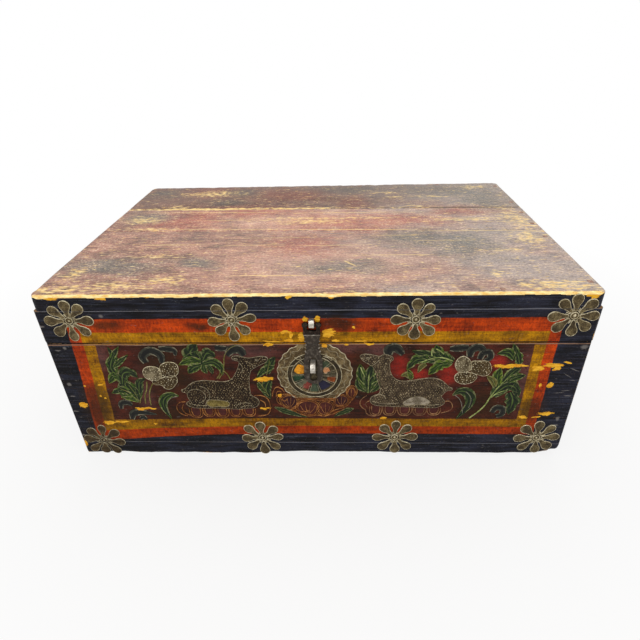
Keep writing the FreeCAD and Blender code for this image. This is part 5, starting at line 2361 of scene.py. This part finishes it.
# The dark cloud curls along the top and the foot of the field.
CLOUD_CURLS = (
    Scroll(
        "cloud_curls_left",
        (
            Blade(
                0, ((-222, 168), (-225, 179), (-213, 188), (-201, 181), (-201, 168)), 13, 0.5, 0.7,
                0.5,
            ),
            Blade(0, ((-201, 191), (-190, 190.5), (-181, 188), (-181, 180)), 9.5, 0.4, 0.8, 0.3),
            Blade(0, ((-275, 88), (-273, 98), (-264, 100), (-258, 95)), 10, 0.6, 0.5, 0.5),
            Blade(0, ((-264, 68), (-260, 79), (-248, 82), (-226, 77.5)), 12, 0.45, 0.5),
            Blade(0, ((-127, 192.5), (-118, 191.5), (-108, 191)), 9.5, 0.3, 0.9, 0.5),
            Blade(0, ((-113, 180), (-105, 189), (-95, 189), (-90, 180)), 14, 0.5, 0.5, 0.5),
            Blade(0, ((-252, 70), (-246, 73), (-243, 68)), 6, 0.5, 0.8, 0.5),
        ),
        (), (Finishes.CURL,),
    ),
    Scroll(
        "cloud_curls_right",
        (
            Blade(0, ((97, 180), (98, 189), (107, 191), (116, 181)), 15, 0.45, 0.7, 0.4),
            Blade(0, ((174, 190), (185, 190.5), (198, 192)), 11, 0.6, 0.6, 0.6),
            Blade(0, ((201, 177), (202, 188), (211, 192), (219, 185)), 12, 0.45, 0.7, 0.6),
            Blade(
                0, ((214, 173), (217, 183), (225, 184), (227, 176), (221, 171)), 10, 0.4, 0.8, 0.6,
            ),
            Blade(0, ((243, 83), (248, 92), (257, 90), (257, 80), (250, 77)), 10, 0.4, 0.8, 0.6),
        ),
        (), (Finishes.CURL,),
    ),
)


@dataclass
class Blossoms:
    """A group of stippled petals: pale outlines, dotted bronze inside."""

    name: str
    petals: tuple[tuple[int, Path], ...]
    pitch: float = 4.0

    def build(self, rng: random.Random) -> None:
        """Build the group with random numbers that it shares with the other."""
        relief = Relief()
        parts = []
        for at, (number, outline) in enumerate(self.petals):
            level = Relief(relief.face - 0.12 * at)
            parts.append((level.plate(outline, 0.35, 0.3, 0.7), number))
            parts.append((level.beads([(outline, True)], 1.1, 0.95), 2))
            spots = stipple(outline, self.pitch, rng)
            parts.append((level.dots(spots, 1.6, 0.42, rng), 2))
        finishes = (Finishes.BLOSSOM, Finishes.PALE_BRONZE, Finishes.GESSO_LINE)
        link_piece(relief.merged(parts), self.name, finishes)


@dataclass
class Flowers:
    """The blossoms beside the plants."""

    groups: tuple[Blossoms, ...] = (
        Blossoms(
            "left_blossoms",
            (
                (
                    0,
                    (
                        (-219, 133), (-219, 141), (-208, 142.5), (-198, 146), (-188, 147),
                        (-185.5, 139), (-190, 131), (-197, 124.5), (-204, 125), (-209, 131),
                    ),
                ),
                (
                    0,
                    (
                        (-206, 160), (-200, 167), (-191, 169.5), (-183, 167), (-181, 158),
                        (-183.5, 150), (-189, 146), (-198, 145), (-205, 149),
                    ),
                ),
                (
                    1,
                    (
                        (-230, 151), (-227, 159), (-217.5, 162.5), (-208, 159.5), (-205, 151),
                        (-208, 143), (-218, 139.5), (-227, 143),
                    ),
                ),
            ),
        ),
        Blossoms(
            "right_blossoms",
            (
                (
                    0,
                    (
                        (187, 149), (186.5, 141), (191, 136), (198, 133.5), (206, 134.5),
                        (212, 139), (214, 147), (205, 152), (194, 153),
                    ),
                ),
                (
                    0,
                    (
                        (204, 169), (214, 170.5), (225, 170), (230, 163), (231, 154), (226, 147.5),
                        (215, 149), (206, 154),
                    ),
                ),
                (
                    1,
                    (
                        (184.5, 169), (191.5, 178), (198, 176), (204, 168), (205, 158),
                        (199, 153.5), (190, 154), (185.5, 160),
                    ),
                ),
            ),
        ),
    )

    def build(self) -> None:
        """Build both groups."""
        rng = random.Random(31)
        for group in self.groups:
            group.build(rng)


@dataclass
class Ironwork:
    """The forged ironwork, softened at its edges and hammered, and the frame's small parts."""

    forged: tuple[tuple[str, str, ForgedIron], ...] = (
        ("hasp_strap", "hasp", Finishes.IRON), ("padlock_staple", "base", Finishes.WORN_IRON),
        ("hasp_staple", "lid", Finishes.WORN_IRON),
        ("left_hinge_base_leaf", "base", Finishes.DARK_IRON),
        ("right_hinge_base_leaf", "base", Finishes.DARK_IRON),
        ("left_hinge_lid_leaf", "lid", Finishes.DARK_IRON),
        ("right_hinge_lid_leaf", "lid", Finishes.DARK_IRON),
    )
    kept: tuple[tuple[str, Finish], ...] = (
        ("hasp_pin", Finishes.DARK_IRON), ("left_hinge_pin", Finishes.DARK_IRON),
        ("right_hinge_pin", Finishes.DARK_IRON), ("base_hinge_nails", Finishes.DARK_IRON),
        ("lid_hinge_nails", Finishes.DARK_IRON), ("bottom_nails", Finishes.DARK_IRON),
        ("bottom_plank_pins", Finishes.BAMBOO), ("top_plank_pins", Finishes.BAMBOO),
        ("top_nails", Finishes.NAIL),
    )
    # the broken edge, the depth and size of a hammer mark, and the cuts that carry the marks
    edge: float = 0.3
    dent: float = 0.12
    mark: float = 5.0
    step: float = 3.0
    # the hasp: where its lap ends, how far above that its painted highlight reaches, where its
    # waist is, and the filed nubs beside the waist
    lap_foot: float = 214.8
    lap_highlight: float = 1.5
    waist: tuple[float, float] = (203.0, 190.0)
    waist_run: float = 14.0
    waist_swell: float = 0.17
    nubs: tuple[tuple[float, float], ...] = ((205.0, 9.2), (199.5, 8.3), (193.5, 8.2), (187.5, 9.3))
    # how far the nubs lie before the lid's front at the waist's head, and how far that falls back
    nub_front: float = 3.9
    nub_fall: float = 2.9

    def swell(self, z: float) -> float:
        """Give how much wider the hasp's waist is than its plain outline, as a factor."""
        head, foot = self.waist
        up = min(1.0, max(0.0, (self.lap_foot - z) / (self.lap_foot - head)))
        down = min(1.0, max(0.0, (z - foot + self.waist_run) / self.waist_run))
        return 1 + self.waist_swell * up * down

    def dress_hasp(self, bm: Mesh) -> Mesh:
        """Widen the hasp's waist a little, tell its lap from its strap, paint a highlight at the
        lap's foot and add the filed nubs.

        Args:
            bm: The hasp's mesh.

        Returns:
            The dressed mesh: 0 is the strap, 1 the nubs and the painted highlight at the lap's
                foot, and 2 the dark lap.
        """
        highlight_to = self.lap_foot + self.lap_highlight
        slice_mesh(bm, 2, [highlight_to * MM])
        for vert in bm.verts:
            vert.co.x *= self.swell(vert.co.z / MM)
        numbers = []
        # forward faces in a thin band at the lap's foot take the lighter iron: a painted highlight
        for face in bm.faces:
            height = face.calc_center_median().z / MM
            edge = height < highlight_to and face.normal.y < -0.3
            numbers.append(0 if height < self.lap_foot - 0.4 else 1 if edge else 2)
        rng = random.Random(4)
        parts = [(bm, 0)]
        head, foot = self.waist
        for z, reach in self.nubs:
            set_back = min(1.0, max(0.0, (head - z) / (head - foot)))
            relief = Relief(TRUNK.lid_front - self.nub_front + self.nub_fall * set_back)
            parts.append((relief.dots([(-reach, z), (reach, z)], 2.1, 0.2, rng), 1))
        whole = Relief().merged(parts)
        for face, number in zip(whole.faces, numbers):
            face.material_index = number
        return whole

    def build(self) -> None:
        """Build the forged copies and finish the nodes that stay."""
        for node, body, finish in self.forged:
            self.forge(node, body, finish)
        for name, finish in self.kept:
            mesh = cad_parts[name].data
            mesh.materials.clear()
            mesh.materials.append(Finishes.get(finish))

    def forge(self, node: str, body: str, finish: ForgedIron) -> None:
        """Copy an iron node, break its edges and hammer its faces a little."""
        bm = node_copy(node)
        flat, corner = math.radians(1.0), math.radians(35)
        bmesh.ops.dissolve_limit(bm, angle_limit=flat, verts=bm.verts, edges=bm.edges)
        sharp = [edge for edge in bm.edges if edge.is_manifold and edge.calc_face_angle() > corner]
        bmesh.ops.bevel(
            bm, geom=sharp, offset=self.edge * MM, segments=2, profile=0.5, affect="EDGES",
            clamp_overlap=True, material=-1,
        )
        bmesh.ops.triangulate(bm, faces=bm.faces)
        bmesh.ops.remove_doubles(bm, verts=bm.verts, dist=SAME_PLACE)
        low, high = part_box(node)
        for axis in (0, 2):
            count = int((high[axis] - low[axis]) / MM / self.step)
            places = [low[axis] + self.step * MM * (at + 0.5) for at in range(count)]
            slice_mesh(bm, axis, places)
        bm.normal_update()
        for vert in bm.verts:
            push = noise.noise(vert.co / (self.mark * MM)) * self.dent
            vert.co += vert.normal * min(push, 0.0) * MM
        finishes = (finish,)
        if node == "hasp_strap":
            bm = self.dress_hasp(bm)
            finishes = (finish, Finishes.HIGHLIGHT_IRON, Finishes.DARK_IRON)
        link_piece(bm, "forged_" + node, finishes, body, (node,), 40.0)


@dataclass
class Studio:
    """A plain pale floor, soft lamps and the camera of the photograph."""

    eye: tuple[float, float, float] = (0.0356, -0.7435, 0.5397)
    pitch: float = 31.08
    yaw: float = -2.83
    roll: float = -1.75
    lens: float = 26.97
    floor_half: float = 5.0
    white: tuple[float, float, float, float] = (1, 1, 1, 1)
    # where the lamps point: the middle of the trunk's height
    target: tuple[float, float, float] = (0, 0, 0.12)
    # each lamp's name, place, size in metres and power in watts
    lamps: tuple[tuple[str, tuple[float, float, float], float, float], ...] = (
        ("softbox_left", (-1.5, -2.2, 2.0), 1.8, 30.0),
        ("softbox_right", (1.8, -1.9, 1.6), 1.6, 18.0), ("overhead", (0.0, 0.4, 2.6), 2.4, 42.0),
    )

    def camera(self) -> None:
        """Stand the camera where the photograph was taken."""
        pitch, yaw, roll = (math.radians(value) for value in (self.pitch, self.yaw, self.roll))
        ahead = Vector(
            (math.sin(yaw) * math.cos(pitch), math.cos(yaw) * math.cos(pitch), -math.sin(pitch))
        )
        level = Vector((math.cos(yaw), -math.sin(yaw), 0))
        above = level.cross(ahead)
        right = math.cos(roll) * level + math.sin(roll) * above
        up = -math.sin(roll) * level + math.cos(roll) * above
        data = bpy.data.cameras.new("photo_camera")
        data.lens = self.lens
        data.sensor_width = 36.0
        data.clip_start = 0.01
        camera = shown("photo_camera", data)
        turn = Matrix((right, up, -ahead)).transposed().to_4x4()
        camera.matrix_world = Matrix.Translation(self.eye) @ turn
        bpy.context.scene.camera = camera

    def floor(self) -> None:
        """Lay the floor: white to the camera, with the trunk's own soft shadow kept."""
        bm = bmesh.new()
        bmesh.ops.create_grid(bm, x_segments=2, y_segments=2, size=self.floor_half)
        mesh = bpy.data.meshes.new("studio_floor")
        bm.to_mesh(mesh)
        bm.free()
        material, tree = new_material("pale_studio_floor")
        paper = add_node(tree, Node.PAPER, "#c2bfbb")
        glow = add_node(tree, Node.GLOW, self.white, 1.0)
        path = add_node(tree, Node.LIGHT_PATH).node.outputs
        # the floor goes from a faint shadow by the trunk to plain white away from it
        away = add_node(tree, Node.LENGTH, add_node(tree, Node.PLACE))
        white = add_node(tree, Node.RANGE, away, 0.3, 0.9, 0.82, 1.0)
        seen = add_node(tree, Node.MULTIPLY, path["Is Camera Ray"], white)
        shiny = add_node(tree, Node.MULTIPLY_ADD, path["Is Glossy Ray"], 0.5, seen)
        add_node(tree, Node.SURFACE, add_node(tree, Node.MIX_SHADER, shiny, paper, glow))
        mesh.materials.append(material)
        shown("studio_floor", mesh)

    def light(self) -> None:
        """Set the world and the lamps."""
        world = bpy.data.worlds.new("studio_world")
        world.use_nodes = True
        tree = world.node_tree
        tree.nodes.clear()
        path = add_node(tree, Node.LIGHT_PATH).node.outputs
        soft = add_node(tree, Node.SKY, self.white, 0.55)
        white = add_node(tree, Node.SKY, self.white, 1.0)
        seen = add_node(tree, Node.MAXIMUM, path["Is Camera Ray"], path["Is Glossy Ray"])
        add_node(tree, Node.WORLD, add_node(tree, Node.MIX_SHADER, seen, soft, white))
        bpy.context.scene.world = world
        for name, place, size, power in self.lamps:
            data = bpy.data.lights.new(name, "AREA")
            data.shape = "SQUARE"
            data.size = size
            data.energy = power
            lamp = shown(name, data)
            lamp.location = place
            aim = Vector(self.target) - Vector(place)
            lamp.rotation_euler = aim.to_track_quat("-Z", "Y").to_euler()

    def build(self) -> None:
        """Set the whole studio."""
        self.camera()
        self.floor()
        self.light()
        bpy.context.scene.view_settings.view_transform = "Standard"


def main() -> None:
    """Build every sub-assembly in order."""
    logging.basicConfig(level=logging.INFO, format="%(name)s: %(message)s")
    for assembly in (
        Studio(), Boards(), Ironwork(), Rosettes(), *DEER, *LOTUS_ROWS, Wheel(), LotusSeat(),
        *FOLIAGE, *CLOUD_CURLS, Flowers(),
    ):
        assembly.build()


if __name__ == "__main__":
    main()
